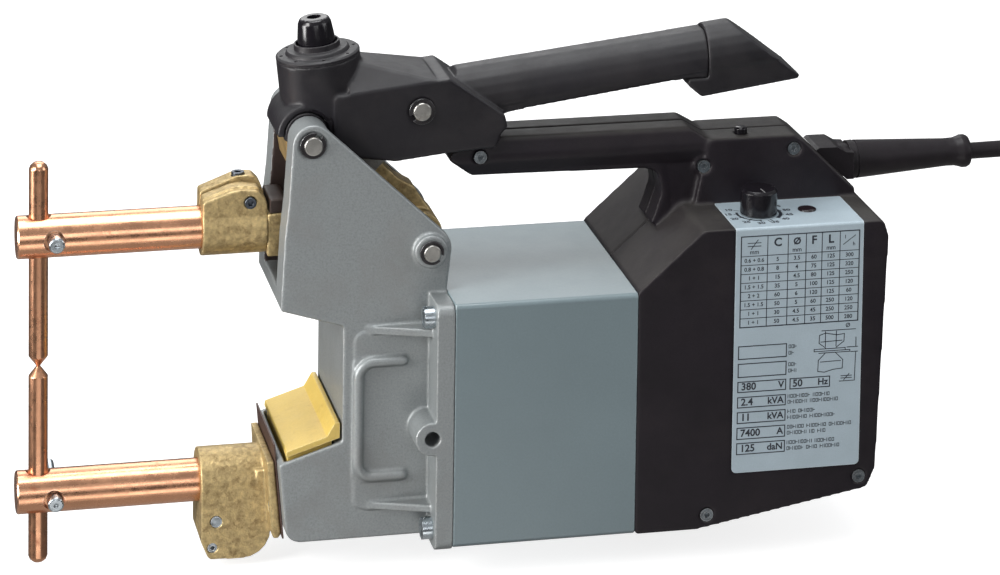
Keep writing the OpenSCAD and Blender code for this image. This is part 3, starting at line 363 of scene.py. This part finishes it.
def take(node, material, bevel=0.35, seg=2, angle=32, sharp=42):
    """Machined or folded part: the CAD solid with its edges broken."""
    bm = bm_of(node)
    bmesh.ops.dissolve_limit(bm, angle_limit=math.radians(0.6), verts=bm.verts, edges=bm.edges, delimit={"NORMAL"})
    ob = new_obj(node + "_v", bm, M[material])
    if bevel:
        bv = ob.modifiers.new("bevel", "BEVEL")
        bv.width = bevel * MM
        bv.segments = seg
        bv.limit_method = "ANGLE"
        bv.angle_limit = math.radians(angle)
        bv.use_clamp_overlap = True
        bv.miter_outer = "MITER_SHARP"
        wn = ob.modifiers.new("weighted", "WEIGHTED_NORMAL")
        wn.keep_sharp = True
        wn.weight = 60
    dg = bpy.context.evaluated_depsgraph_get()
    ob.data.shade_smooth()
    ob.data.set_sharp_from_angle(angle=math.radians(sharp))
    bake(ob)
    return finish_piece(ob, node)


def cast(node, material, voxel=0.8, smooth=4, keep=0.6, factor=0.5):
    """Cast or moulded part: the CAD solid with every inner and outer edge softened."""
    ob = new_obj(node + "_v", bm_of(node), M[material])
    rm = ob.modifiers.new("remesh", "REMESH")
    rm.mode = "VOXEL"
    rm.voxel_size = voxel * MM
    rm.adaptivity = 0.0
    sm = ob.modifiers.new("smooth", "SMOOTH")
    sm.factor = factor
    sm.iterations = smooth
    if keep < 1:
        dc = ob.modifiers.new("decimate", "DECIMATE")
        dc.ratio = keep
    bake(ob)
    return finish_piece(ob, node)


def tube(points, radius, sides=14, closed_ends=True, radii=None):
    """Round tube along a polyline, as a bmesh."""
    bm = bmesh.new()
    pts = [Vector(p) for p in points]
    rings = []
    t0 = (pts[1] - pts[0]).normalized()
    ref = Vector((0, 0, 1)) if abs(t0.z) < 0.9 else Vector((1, 0, 0))
    nrm = t0.cross(ref).normalized()
    for i, p in enumerate(pts):
        a, b = pts[max(0, i - 1)], pts[min(len(pts) - 1, i + 1)]
        tan = (b - a).normalized()
        nrm = (nrm - tan * nrm.dot(tan)).normalized()
        bi = tan.cross(nrm)
        r = radii[i] if radii else radius
        rings.append([bm.verts.new(p + (nrm * math.cos(2 * math.pi * k / sides) + bi * math.sin(2 * math.pi * k / sides)) * r)
                      for k in range(sides)])
    for a, b in zip(rings, rings[1:]):
        for k in range(sides):
            bm.faces.new((a[k], a[(k + 1) % sides], b[(k + 1) % sides], b[k]))
    bm.faces.new(list(reversed(rings[0])))
    bm.faces.new(rings[-1])
    bmesh.ops.recalc_face_normals(bm, faces=bm.faces)
    return bm


def lathe(profile, sides=64):
    """Profile of (r, z) turned about Z, as a bmesh; r 0 closes it."""
    bm = bmesh.new()
    rings = []
    for r, z in profile:
        if r < 1e-9:
            rings.append([bm.verts.new((0, 0, z))])
        else:
            rings.append([bm.verts.new((r * math.cos(2 * math.pi * k / sides), r * math.sin(2 * math.pi * k / sides), z)) for k in range(sides)])
    for a, b in zip(rings, rings[1:]):
        if len(a) == 1 and len(b) == 1:
            continue
        for k in range(sides):
            k2 = (k + 1) % sides
            if len(a) == 1:
                bm.faces.new((a[0], b[k2], b[k]))
            elif len(b) == 1:
                bm.faces.new((a[k], a[k2], b[0]))
            else:
                bm.faces.new((a[k], a[k2], b[k2], b[k]))
    if len(rings[0]) > 1 and len(rings[-1]) > 1 and profile[0] != profile[-1]:
        a, b = rings[-1], rings[0]
        for k in range(sides):
            k2 = (k + 1) % sides
            bm.faces.new((a[k], a[k2], b[k2], b[k]))
    bmesh.ops.recalc_face_normals(bm, faces=bm.faces)
    return bm


def slab(bm, corners, normal, thick):
    """Thin closed plate on the given corners (metres), raised along normal."""
    n = Vector(normal) * thick
    a = [bm.verts.new(Vector(c)) for c in corners]
    b = [bm.verts.new(Vector(c) + n) for c in corners]
    bm.faces.new(list(reversed(a)))
    bm.faces.new(b)
    k = len(a)
    for i in range(k):
        bm.faces.new((a[i], a[(i + 1) % k], b[(i + 1) % k], b[i]))


def add_text(bm, body, size, place, align="CENTER", bold=0.0):
    cu = bpy.data.curves.new("t", "FONT")
    cu.body = body
    cu.size = size
    cu.extrude = 0.00002
    cu.offset = bold * MM
    cu.resolution_u = 3
    cu.align_x = align
    cu.align_y = "CENTER"
    ob = bpy.data.objects.new("t", cu)
    scene.collection.objects.link(ob)
    dg = bpy.context.evaluated_depsgraph_get()
    me = bpy.data.meshes.new_from_object(ob.evaluated_get(dg), depsgraph=dg)
    me.transform(place)
    bm.from_mesh(me)
    bpy.data.objects.remove(ob)
    bpy.data.meshes.remove(me)
    bpy.data.curves.remove(cu)


# ------------------------------------------------------------- castings and mouldings
def loop_rod(side):
    # rounded carrying loop on the casting's side
    y = side * 39.7
    path = [(184.2, y, 4.9), (172.0, y, 4.9)]
    for i in range(0, 10):
        a = math.radians(90 + i * 10)
        path.append((168.6 + 7.8 * math.cos(a), y, -2.9 + 7.8 * math.sin(a)))
    for i in range(0, 10):
        a = math.radians(180 + i * 10)
        path.append((168.6 + 7.8 * math.cos(a), y, -48.4 + 7.8 * math.sin(a)))
    path += [(172.0, y, -56.2), (184.2, y, -56.2)]
    pts = [Vector(q) * MM for q in path]
    radii = [2.7 * MM] * len(pts)
    for k in (1, 2):
        d = (pts[0] - pts[1]).normalized() if k == 1 else (pts[-1] - pts[-2]).normalized()
        end = pts[0] if k == 1 else pts[-1]
        for f in (1.4, 2.3):
            q = end + d * f * MM
            r = 2.7 * math.sqrt(max(0.05, 1 - (f / 2.7) ** 2)) * MM
            if k == 1:
                pts.insert(0, q); radii.insert(0, r)
            else:
                pts.append(q); radii.append(r)
        if k == 1:
            continue
    return tube(pts, 0, 16, radii=radii)


def casting():
    bm = bm_of("front_casting")
    # the flat loop of the solid gives way to the rounded one
    eh = max(abs(v.co.y) for v in bm.verts if abs(v.co.x - 0.1229) < 0.01 and v.co.z > 0.05)
    for v in bm.verts:
        x, y, z = v.co
        if 0.1578 < x < 0.1856 and -0.0598 < z < 0.0083 and abs(y) > eh + 0.0034:
            v.co.y = math.copysign(eh + 0.0012, y)
    for side in (-1, 1):
        rod = loop_rod(side)
        me = bpy.data.meshes.new("rod")
        rod.to_mesh(me)
        rod.free()
        bm.from_mesh(me)
        bpy.data.meshes.remove(me)
    ob = new_obj("front_casting_v", bm, M["cast_aluminium"])
    rm = ob.modifiers.new("remesh", "REMESH")
    rm.mode = "VOXEL"
    rm.voxel_size = 0.75 * MM
    sm = ob.modifiers.new("smooth", "SMOOTH")
    sm.factor = 0.5
    sm.iterations = 2
    dc = ob.modifiers.new("decimate", "DECIMATE")
    dc.ratio = 0.55
    bake(ob)
    # the inner faces of the ears take the dark colour, partly their dark paint and partly painted shade between the
    # ears
    ob.data.materials.append(M["ear_dark_paint_and_painted_shade"])
    for f in ob.data.polygons:
        c = f.center
        if c.z > 0.0405 and abs(c.y) < 0.0335 and f.normal.y * c.y < -0.5 * abs(c.y) and c.x > 0.1205:
            f.material_index = 1
    finish_piece(ob, "front_casting")


casting()
cast("upper_arm_holder", "cast_brass", 0.5, 6, 0.6)
cast("lower_arm_holder", "cast_brass", 0.55, 6, 0.6)
cast("arm_lever", "cast_brass", 0.6, 4, 0.5)
ob = cast("rocker", "bronze", 0.6, 3, 0.5)
ob.data.materials.append(M["lever_plastic"])
for f in ob.data.polygons:
    c = f.center
    if c.z > P1[1] * MM - 0.003 and 0.0085 < math.hypot(c.x - P1[0] * MM, c.z - P1[1] * MM) < 0.0122:
        f.material_index = 1
def round_more(ob, rounds, test):
    bm = bmesh.new()
    bm.from_mesh(ob.data)
    vs = [v for v in bm.verts if test(v.co)]
    for _ in range(rounds):
        bmesh.ops.smooth_vert(bm, verts=vs, factor=0.5, use_axis_x=False, use_axis_y=True, use_axis_z=True)
    bm.to_mesh(ob.data)
    bm.free()
    ob.data.shade_smooth()


def hand_lever():
    bm = bm_of("hand_lever")
    # shoulder that wraps the top of the pivot
    rows = []
    n = 26
    for i in range(n + 1):
        a = math.radians(-6 + 190 * i / n)
        c, d = math.cos(a), math.sin(a)
        rows.append([bm.verts.new((P1[0] * MM + r * c, y, P1[1] * MM + r * d)) for r, y in
                     ((0.0117, -0.0189), (0.0143, -0.0189), (0.0153, -0.0179), (0.0153, 0.0179), (0.0143, 0.0189), (0.0117, 0.0189))])
    for a, b in zip(rows, rows[1:]):
        for k in range(6):
            bm.faces.new((a[k], b[k], b[(k + 1) % 6], a[(k + 1) % 6]))
    bm.faces.new(rows[0])
    bm.faces.new(list(reversed(rows[-1])))
    new = [f for f in bm.faces if all(v in set(sum(rows, [])) for v in f.verts)]
    bmesh.ops.recalc_face_normals(bm, faces=new)
    ob = new_obj("hand_lever_v", bm, M["lever_plastic"])
    rm = ob.modifiers.new("remesh", "REMESH")
    rm.mode = "VOXEL"
    rm.voxel_size = 0.75 * MM
    sm = ob.modifiers.new("smooth", "SMOOTH")
    sm.factor = 0.5
    sm.iterations = 4
    dc = ob.modifiers.new("decimate", "DECIMATE")
    dc.ratio = 0.6
    bake(ob)
    round_more(ob, 14, lambda c: 0.252 < c.x < 0.334)
    finish_piece(ob, "hand_lever")


hand_lever()
round_more(cast("grip_end", "lever_plastic", 0.6, 5, 0.6), 8, lambda c: c.x > 0.0)
cast("rear_housing_left", "black_plastic", 0.95, 3, 0.55)
cast("rear_housing_right", "black_plastic", 0.95, 3, 0.55)
cast("stop_buffer", "dark_rubber", 0.5, 4, 0.6)

# ------------------------------------------------------------- machined, folded and turned parts
take("terminal_cover", "yellow_insulation", 0.5, 3)
take("upper_arm", "copper_x", 0.25)
take("lower_arm", "copper_x", 0.25)
take("upper_electrode", "copper_z", 0.15)
take("lower_electrode", "copper_z", 0.15)
take("upper_electrode_bolt", "zinc", 0.2)
take("lower_electrode_bolt", "zinc", 0.2)
take("upper_holder_screws", "black_steel", 0.25)
take("lower_holder_screws", "dull_zinc", 0.25)
take("lower_holder_studs", "zinc", 0.3)
take("flange_insulator", "laminate", 0.15)
take("arm_pivot_pin", "steel", 0.2)
take("lever_pivot_pin", "steel", 0.2)
take("link_pin", "steel", 0.2)
take("lower_link_pin", "steel", 0.2)
take("rod_pin", "steel", 0.15)
for ring in ("frame_pin_rings", "link_pin_rings", "lower_link_rings"):
    take(ring, "spring_steel", 0.15)
take("link_plates", "steel", 0.3)
take("spring_cap", "lever_plastic", 0.35)
take("pull_rod", "steel", 0.2)
take("force_knob", "gloss_black", 0.4, 3)
take("spring_seat", "steel", 0.2)
take("shunt_bolts_arm", "zinc", 0.25)
take("shunt_bolts_frame", "zinc", 0.25)
take("lower_busbar", "copper", 0.4)
take("secondary_winding", "copper", 0.4)
take("transformer_core", "core_steel", 0.3)
take("primary_coils", "coil_wire", 0.8, 3)
take("core_bolts", "zinc", 0.25)
take("transformer_casing", "painted_casing", 0.5, 3)
take("flange_screws", "zinc", 0.45, 3)
take("housing_screws", "dull_zinc", 0.3)
take("weld_button", "gloss_black", 0.3)
take("microswitch", "black_plastic", 0.2)
take("control_panel", "panel_plate", 0.12)
take("timer_potentiometer", "steel", 0.2)
take("timer_board", "circuit_board", 0.15)
take("pilot_lens", "lens", 0.15)
take("terminal_strip", "white_plastic", 0.25)
take("cable_clamp", "black_plastic", 0.25)
take("cable_boot", "black_rubber", 0.45, 3)
take("supply_cable", "black_rubber", 0.2)
take("timer_knob", "gloss_black", 0.7, 4)


# ------------------------------------------------------------- springs and the flexible shunt
def lever_point(x, y, z):
    return Vector((145.5 + x * math.cos(TILT) - z * math.sin(TILT), y, 152 + x * math.sin(TILT) + z * math.cos(TILT))) * MM


def helix(r, length, turns, z0, fn, per=40, dead=0.75):
    """Compression spring with closed ends, as points in millimetres mapped by fn."""
    pts = []
    n = int(turns * per)
    for i in range(n + 1):
        t = i / n
        a = 2 * math.pi * turns * t
        s = min(1, max(0, (t * turns - dead) / (turns - 2 * dead)))
        pts.append(fn(r * math.cos(a), r * math.sin(a), z0 + length * s + (t - 0.5) * 0.5))
    return pts


sp = new_obj("pressure_spring_v", tube(helix(8.8, 16.6, 5.0, -12.2, lever_point), 1.2 * MM, 12), M["spring_steel"])
bake(sp, 40)
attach(sp, "hand_lever_body"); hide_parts("pressure_spring")
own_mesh(sp)

sp = new_obj("button_spring_v", tube(helix(2.4, 4.5, 5.2, 93.9, lambda x, y, z: Vector((372.3 + x, -8.6 + y, z)) * MM), 0.3 * MM, 8), M["spring_steel"])
bake(sp, 40)
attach(sp, "frame"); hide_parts("button_spring")
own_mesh(sp)

pts = [Vector((P2[0] - 26, 15.4, P2[1] - 8.6)) * MM, Vector((P2[0] - 10, 15.4, P2[1] - 7.4)) * MM]
for i in range(0, 6 * 40 + 1):
    a = -math.pi / 2 + 2 * math.pi * i / 40
    pts.append(Vector((P2[0] + 7.2 * math.cos(a), 15.4 + 13.0 * i / 240, P2[1] + 7.2 * math.sin(a))) * MM)
sp = new_obj("return_spring_v", tube(pts, 0.95 * MM, 10), M["spring_steel"])
bake(sp, 40)
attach(sp, "frame"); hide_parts("return_spring")


def bez(a, b, c, d, t):
    return a * (1 - t) ** 3 + b * 3 * t * (1 - t) ** 2 + c * 3 * t * t * (1 - t) + d * t ** 3


path = [Vector((187.4, 33.0)), Vector((187.4, 39.5)), Vector((187.4, 46.0))]
path += [bez(Vector((187.4, 46)), Vector((187.4, 66)), Vector((187, 68.9)), Vector((176, 69.2)), i / 24) for i in range(1, 25)]
path += [Vector((167.0, 69.8)), Vector((158.5, 70.4))]
for side in (-1, 1):
    bm = bmesh.new()
    for layer in range(6):
        off = -1.45 + layer * 0.58
        rows = []
        for i, p in enumerate(path):
            a, b = path[max(0, i - 1)], path[min(len(path) - 1, i + 1)]
            u = (b - a).normalized()
            n = Vector((-u.y, u.x))
            bulge = 0.10 * layer * math.sin(math.pi * min(1, max(0, (i - 3) / 22)))
            lo, hi = p - n * (-off + 0.0) * 1.0, p + n * (off + 0.42)
            lo = p + n * (off + bulge)
            hi = p + n * (off + 0.42 + bulge)
            y0, y1 = side * 16.2, side * 28.8
            rows.append([bm.verts.new(Vector((q.x, y, q.y)) * MM) for q, y in ((lo, y0), (lo, y1), (hi, y1), (hi, y0))])
        for a, b in zip(rows, rows[1:]):
            for k in range(4):
                bm.faces.new((a[k], a[(k + 1) % 4], b[(k + 1) % 4], b[k]))
        bm.faces.new(list(reversed(rows[0])))
        bm.faces.new(rows[-1])
    bmesh.ops.recalc_face_normals(bm, faces=bm.faces)
    sh = new_obj("copper_shunt_" + ("near" if side < 0 else "far"), bm, M["copper"])
    sh.data.shade_smooth()
    sh.data.set_sharp_from_angle(angle=math.radians(30))
    if side < 0:
        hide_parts("copper_shunt")
    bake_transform(sh)


# ------------------------------------------------------------- printing on the control panel
YP = -60.27
bm = bmesh.new()


def bar(x0, z0, x1, z1, w=0.45):
    a, b = Vector((x0, z0)), Vector((x1, z1))
    d = (b - a).normalized() * (w / 2)
    n = Vector((-d.y, d.x))
    cs = [a - d - n, b + d - n, b + d + n, a - d + n]
    slab(bm, [Vector((c.x, YP, c.y)) * MM for c in cs], (0, -1, 0), 0.00003)


def frame_box(x0, z0, x1, z1, w=0.5):
    bar(x0, z0, x1, z0, w); bar(x1, z0, x1, z1, w); bar(x1, z1, x0, z1, w); bar(x0, z1, x0, z0, w)


def word(s, x, z, size, align="CENTER", bold=0.05):
    add_text(bm, s, size * MM, Matrix.Translation(Vector((x, YP, z)) * MM) @ Matrix.Rotation(math.pi / 2, 4, "X"), align, bold)


cols = [358.6, 372.9, 384.0, 393.8, 402.5, 412.3, 422.9]
rows_z = [66.4, 55.8] + [55.8 - 4.75 * i for i in range(1, 9)]
frame_box(cols[0], rows_z[0], cols[-1], rows_z[-1], 0.6)
for c in cols[1:-1]:
    bar(c, rows_z[0], c, rows_z[-1], 0.42)
for r in rows_z[1:-1]:
    bar(cols[0], r, cols[-1], r, 0.38)
heads = ["", "C", "Ø", "F", "L", ""]
cells = [["0.6 + 0.6", "5", "3.5", "60", "125", "300"], ["0.8 + 0.8", "8", "4", "75", "125", "320"], ["1 + 1", "15", "4.5", "80", "125", "250"],
         ["1.5 + 1.5", "35", "5", "100", "125", "120"], ["2 + 2", "60", "6", "120", "125", "60"], ["1.5 + 1.5", "50", "5", "60", "250", "120"],
         ["1 + 1", "30", "4.5", "45", "250", "250"], ["1 + 1", "50", "4.5", "35", "500", "280"]]
for i in range(6):
    cx = (cols[i] + cols[i + 1]) / 2
    if heads[i]:
        word(heads[i], cx, 62.4, 6.2 if i != 2 else 5.0, bold=0.18)
    word("mm" if i in (0, 2, 4) else "", cx, 57.9, 3.3)
    for j in range(8):
        word(cells[j][i], cx, rows_z[1] - 4.75 * (j + 0.5), 3.0, bold=0.06)
bar(362.2, 62.8, 369.2, 62.8, 0.4); bar(362.2, 61.1, 369.2, 61.1, 0.4); bar(364, 59.6, 367.6, 64.4, 0.4)
bar(414.2, 59.2, 420.6, 63.8, 0.4)
word("1", 415.2, 63.2, 2.8); word("h", 420.0, 59.2, 2.8)
boxes = [(358.2, 7.6, 384.2, 0.8), (358.2, -1.8, 384.2, -8.9), (358.2, -11.5, 384.2, -17.0), (358.2, -19.8, 384.2, -25.3),
         (358.2, -27.9, 384.2, -33.7), (358.2, -36.3, 384.2, -42.3), (358.2, -44.6, 384.2, -50.5)]
for b in boxes:
    frame_box(*b, 0.55)
frame_box(386.6, -11.5, 408.2, -17.0, 0.55)
for (s, u, k) in (("380", "V", 2), ("2.4", "kVA", 3), ("11", "kVA", 4), ("7400", "A", 5), ("125", "daN", 6)):
    z = (boxes[k][1] + boxes[k][3]) / 2
    word(s, 360.0, z, 5.4, "LEFT", 0.14)
    word(u, 383.2, z, 5.0, "RIGHT", 0.14)
word("50", 388.0, -14.25, 5.4, "LEFT", 0.14); word("Hz", 407.2, -14.25, 4.8, "RIGHT", 0.14)
for z, parts in ((6.0, (6,)), (2.6, (5,)), (-3.6, (7,)), (-7.0, (6,)), (-20.8, (17, 13)), (-23.9, (14, 20)), (-29.0, (7, 12)), (-32.2, (14, 18)),
                 (-37.4, (13, 15, 16)), (-40.6, (15, 5, 6)), (-45.8, (18, 14)), (-49.0, (12, 8, 15))):
    x = 385.6
    for p in parts:
        n = max(2, int(p / 1.9))
        for q in range(n):
            k = (q * 7 + int(abs(z)) * 3 + p) % 4
            x0, x1 = x + q * 1.56, x + q * 1.56 + 0.95
            bar(x0, z - 0.85, x0, z + 0.85, 0.3)
            if k != 1:
                bar(x0, z + (0.85 if k != 2 else 0.0), x1, z + (0.85 if k != 2 else 0.0), 0.3)
            if k != 2:
                bar(x1, z - 0.85, x1, z + 0.85, 0.3)
            if k in (0, 3):
                bar(x0, z - 0.85, x1, z - 0.85, 0.3)
        x += n * 1.56 + 1.3
# outline of two electrode tips on a sheet
for a in ((402.2, 10.8, 402.0, 6.6), (402.0, 6.6, 405.6, 3.8), (411.4, 3.9, 415.6, 7.0), (415.6, 7.0, 415.8, 11.0), (403.0, 7.2, 414.6, 7.5),
          (402.2, 10.8, 405.4, 11.9), (405.4, 11.9, 411.6, 10.6), (411.6, 10.6, 415.8, 11.0), (405.4, 12.6, 405.5, 4.6), (411.4, 12.6, 411.3, 4.6),
          (399.4, 3.4, 416.4, 3.4), (399.4, 3.4, 399.4, 2.2), (399.4, 2.2, 419.0, 2.2), (419.0, 2.2, 419.0, 1.2), (402.0, 1.2, 419.0, 1.2), (416.4, 3.4, 416.4, 2.2),
          (405.4, 1.0, 401.8, -2.6), (411.2, 1.0, 415.2, -3.0), (401.8, -2.6, 401.6, -8.6), (415.2, -3.0, 415.0, -7.6), (403.0, -3.6, 414.0, -3.4),
          (401.6, -8.6, 405.2, -9.2), (405.2, -9.2, 409.8, -8.0), (409.8, -8.0, 415.0, -7.6), (403.4, 13.2, 421.8, 13.2),
          (422.2, 8.6, 422.2, 3.6), (422.2, 1.0, 421.8, -14.6), (417.4, 3.6, 423.2, 3.6), (419.6, 1.0, 423.2, 1.0), (413.6, -14.6, 421.8, -14.6),
          (414.4, -11.8, 420.2, -11.8), (414.4, -13.0, 420.2, -13.0), (416.0, -14.0, 418.8, -10.8)):
    bar(*a, 0.42)
word("Ø", 417.6, 15.4, 3.2)
new_obj("panel_print", bm, M["ink"])
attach(bpy.data.objects["panel_print"], "frame")

# dial printed round the timer knob
bm = bmesh.new()
ZD = 70.92
KX, KY = 374.2, -38.0


def arc_band(r0, r1, a0, a1):
    n = max(3, int(abs(a1 - a0) / 6))
    ring = []
    for i in range(n + 1):
        a = math.radians(a0 + (a1 - a0) * i / n)
        ring.append((math.cos(a), math.sin(a)))
    for (c0, s0), (c1, s1) in zip(ring, ring[1:]):
        slab(bm, [Vector((KX + r * c, KY + r * s, ZD)) * MM for r, c, s in ((r0, c0, s0), (r1, c0, s0), (r1, c1, s1), (r0, c1, s1))], (0, 0, 1), 0.00003)


arc_band(10.9, 12.2, 165, 262)
arc_band(10.7, 12.6, 312, 390)
for i in range(10):
    a = 150 + i * 27.5
    r = math.radians(a)
    c, s = math.cos(r), math.sin(r)
    q = Vector((-s, c)) * 0.2
    slab(bm, [Vector((KX + rr * c + k * q.x, KY + rr * s + k * q.y, ZD)) * MM for rr, k in ((10.6, -1.6), (13.4, -1.6), (13.4, 1.6), (10.6, 1.6))], (0, 0, 1), 0.00003)
    add_text(bm, str(10 + 5 * i), 0.0042, Matrix.Translation(Vector((KX + 16.4 * c, KY + 15.6 * s, ZD)) * MM), bold=0.16)
slab(bm, [Vector((KX + x, KY + y, ZD)) * MM for x, y in ((1.4, -12.0), (2.0, -12.0), (3.4, -16.2), (2.8, -16.2))], (0, 0, 1), 0.00003)
new_obj("dial_print", bm, M["ink"])
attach(bpy.data.objects["dial_print"], "frame")

# pointer on the timer knob
bm = bmesh.new()
slab(bm, [Vector((KX + x, KY + y, 84.72)) * MM for x, y in ((0.6, -8.3), (1.2, -8.3), (0.5, -2.0), (-0.1, -2.0))], (0, 0, 1), 0.0001)
new_obj("knob_pointer", bm, M["white_ink"])
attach(bpy.data.objects["knob_pointer"], "timer_body")


# ------------------------------------------------------------- camera
cam_data = bpy.data.cameras.new("camera")
cam = bpy.data.objects.new("camera", cam_data)
scene.collection.objects.link(cam)
scene.camera = cam
cam_data.sensor_width = 36
cam_data.lens = 134.24
cam_data.clip_start, cam_data.clip_end = 0.05, 50
R2 = Vector((0.97596, -0.21755, 0.01355))
D2 = Vector((-0.00742, -0.09531, -0.99543))
FW = Vector((0.21785, 0.97139, -0.09463))
rot = Matrix((R2, -D2, -FW)).transposed()
cam.matrix_world = Matrix.Translation((-0.1828, -1.8718, 0.7077)) @ rot.to_4x4()
# the picture was taken with the lens raised, so only the picture's own standpoint has a shifted lens
fc = cam_data.driver_add("shift_y")
drv = fc.driver
drv.type = "SCRIPTED"
for nm, tt in (("cx", "LOC_X"), ("cy", "LOC_Y")):
    v = drv.variables.new()
    v.name = nm
    v.type = "TRANSFORMS"
    v.targets[0].id = cam
    v.targets[0].transform_type = tt
    v.targets[0].transform_space = "WORLD_SPACE"
drv.expression = "-0.9385 if abs(cx + 0.1828) + abs(cy + 1.8718) < 0.001 else 0.0"

# ------------------------------------------------------------- floor, light
FLOOR = -0.1092
bm = bmesh.new()
prof = [(-3.4, FLOOR), (2.6, FLOOR)] + [(2.6 + 1.2 * math.sin(math.radians(a)), FLOOR + 1.2 - 1.2 * math.cos(math.radians(a))) for a in range(6, 91, 6)] + [(3.8, 5.0)]
grid = [[bm.verts.new((x, y, z)) for x in (-4, -1, 1, 4)] for y, z in prof]
for a, b in zip(grid, grid[1:]):
    for k in range(3):
        bm.faces.new((a[k], a[k + 1], b[k + 1], b[k]))
for f in bm.faces:
    f.smooth = True
fl = Tree("pale_floor")
fl.link(fl.mix(fl.range(fl.noise(3, 3), 0.3, 0.7), (0.44, 0.44, 0.44), (0.46, 0.46, 0.46)), fl.b.inputs["Base Color"])
fl.b.inputs["Roughness"].default_value = 0.9
fl.b.inputs["Specular IOR Level"].default_value = 0.1
fl.b.inputs["Emission Color"].default_value = (1, 1, 1, 1)
fl.b.inputs["Emission Strength"].default_value = 0.80
floor = new_obj("floor", bm, fl.m)
floor.visible_diffuse = False
floor.visible_glossy = False
floor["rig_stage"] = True


def area(name, loc, aim, size, power, color=(1, 1, 1), size_y=None):
    ld = bpy.data.lights.new(name, "AREA")
    ld.shape = "RECTANGLE"
    ld.size = size
    ld.size_y = size_y or size
    ld.energy = power
    ld.color = color
    lo = bpy.data.objects.new(name, ld)
    scene.collection.objects.link(lo)
    lo.location = loc
    lo.rotation_euler = (Vector(aim) - Vector(loc)).to_track_quat("-Z", "Y").to_euler()
    return lo


area("key", (-1.35, -0.7, 0.85), (0.15, 0, 0.03), 0.7, 22, (1, 0.985, 0.965))
area("left", (-1.5, -0.2, 0.12), (0.15, 0, 0.0), 0.7, 26, (1, 0.99, 0.98))
area("top", (0.15, 0.0, 1.45), (0.22, 0, 0.03), 1.0, 15, (0.98, 0.99, 1.0), 0.8)
area("front", (0.1, -1.7, 0.45), (0.22, 0, 0.0), 0.9, 3.6, (0.99, 0.99, 1.0), 0.5)
area("low", (0.0, -1.2, -0.75), (0.15, 0, 0.0), 1.2, 3.5, (1, 0.98, 0.96), 0.5)
area("right", (1.5, -0.7, 0.6), (0.25, 0, 0.03), 0.6, 4, (0.97, 0.98, 1.0))
area("back", (0.3, 1.5, 1.1), (0.2, 0, 0.05), 1.0, 8)
world = bpy.data.worlds.new("studio")
scene.world = world
world.use_nodes = True
nt = world.node_tree
nt.nodes.clear()
wo = nt.nodes.new("ShaderNodeOutputWorld")
bg1 = nt.nodes.new("ShaderNodeBackground")
wtc = nt.nodes.new("ShaderNodeTexCoord")
wsp = nt.nodes.new("ShaderNodeSeparateXYZ")
wrm = nt.nodes.new("ShaderNodeMapRange")
wrm.inputs["From Min"].default_value = -1
wcr = nt.nodes.new("ShaderNodeValToRGB")
for i, (pos, c) in enumerate(((0.0, (0.88, 0.86, 0.84)), (0.17, (0.80, 0.79, 0.78)), (0.29, (0.26, 0.26, 0.265)), (0.44, (0.15, 0.15, 0.155)), (0.58, (0.20, 0.205, 0.215)), (0.70, (0.62, 0.63, 0.65)), (1.0, (0.95, 0.97, 1.0)))):
    el = wcr.color_ramp.elements[i] if i < 2 else wcr.color_ramp.elements.new(pos)
    el.position = pos
    el.color = (*c, 1)
nt.links.new(wtc.outputs["Generated"], wsp.inputs[0])
nt.links.new(wsp.outputs["Z"], wrm.inputs["Value"])
nt.links.new(wrm.outputs["Result"], wcr.inputs["Fac"])
nt.links.new(wcr.outputs["Color"], bg1.inputs["Color"])
bg1.inputs["Strength"].default_value = 0.47
bg2 = nt.nodes.new("ShaderNodeBackground")
bg2.inputs["Color"].default_value = (1, 1, 1, 1)
bg2.inputs["Strength"].default_value = 1.0
lp = nt.nodes.new("ShaderNodeLightPath")
mx = nt.nodes.new("ShaderNodeMixShader")
nt.links.new(lp.outputs["Is Camera Ray"], mx.inputs[0])
nt.links.new(bg1.outputs[0], mx.inputs[1])
nt.links.new(bg2.outputs[0], mx.inputs[2])
nt.links.new(mx.outputs[0], wo.inputs["Surface"])
scene.view_settings.view_transform = "Standard"
scene.view_settings.look = "None"
scene.view_settings.exposure = 0.0

lo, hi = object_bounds()
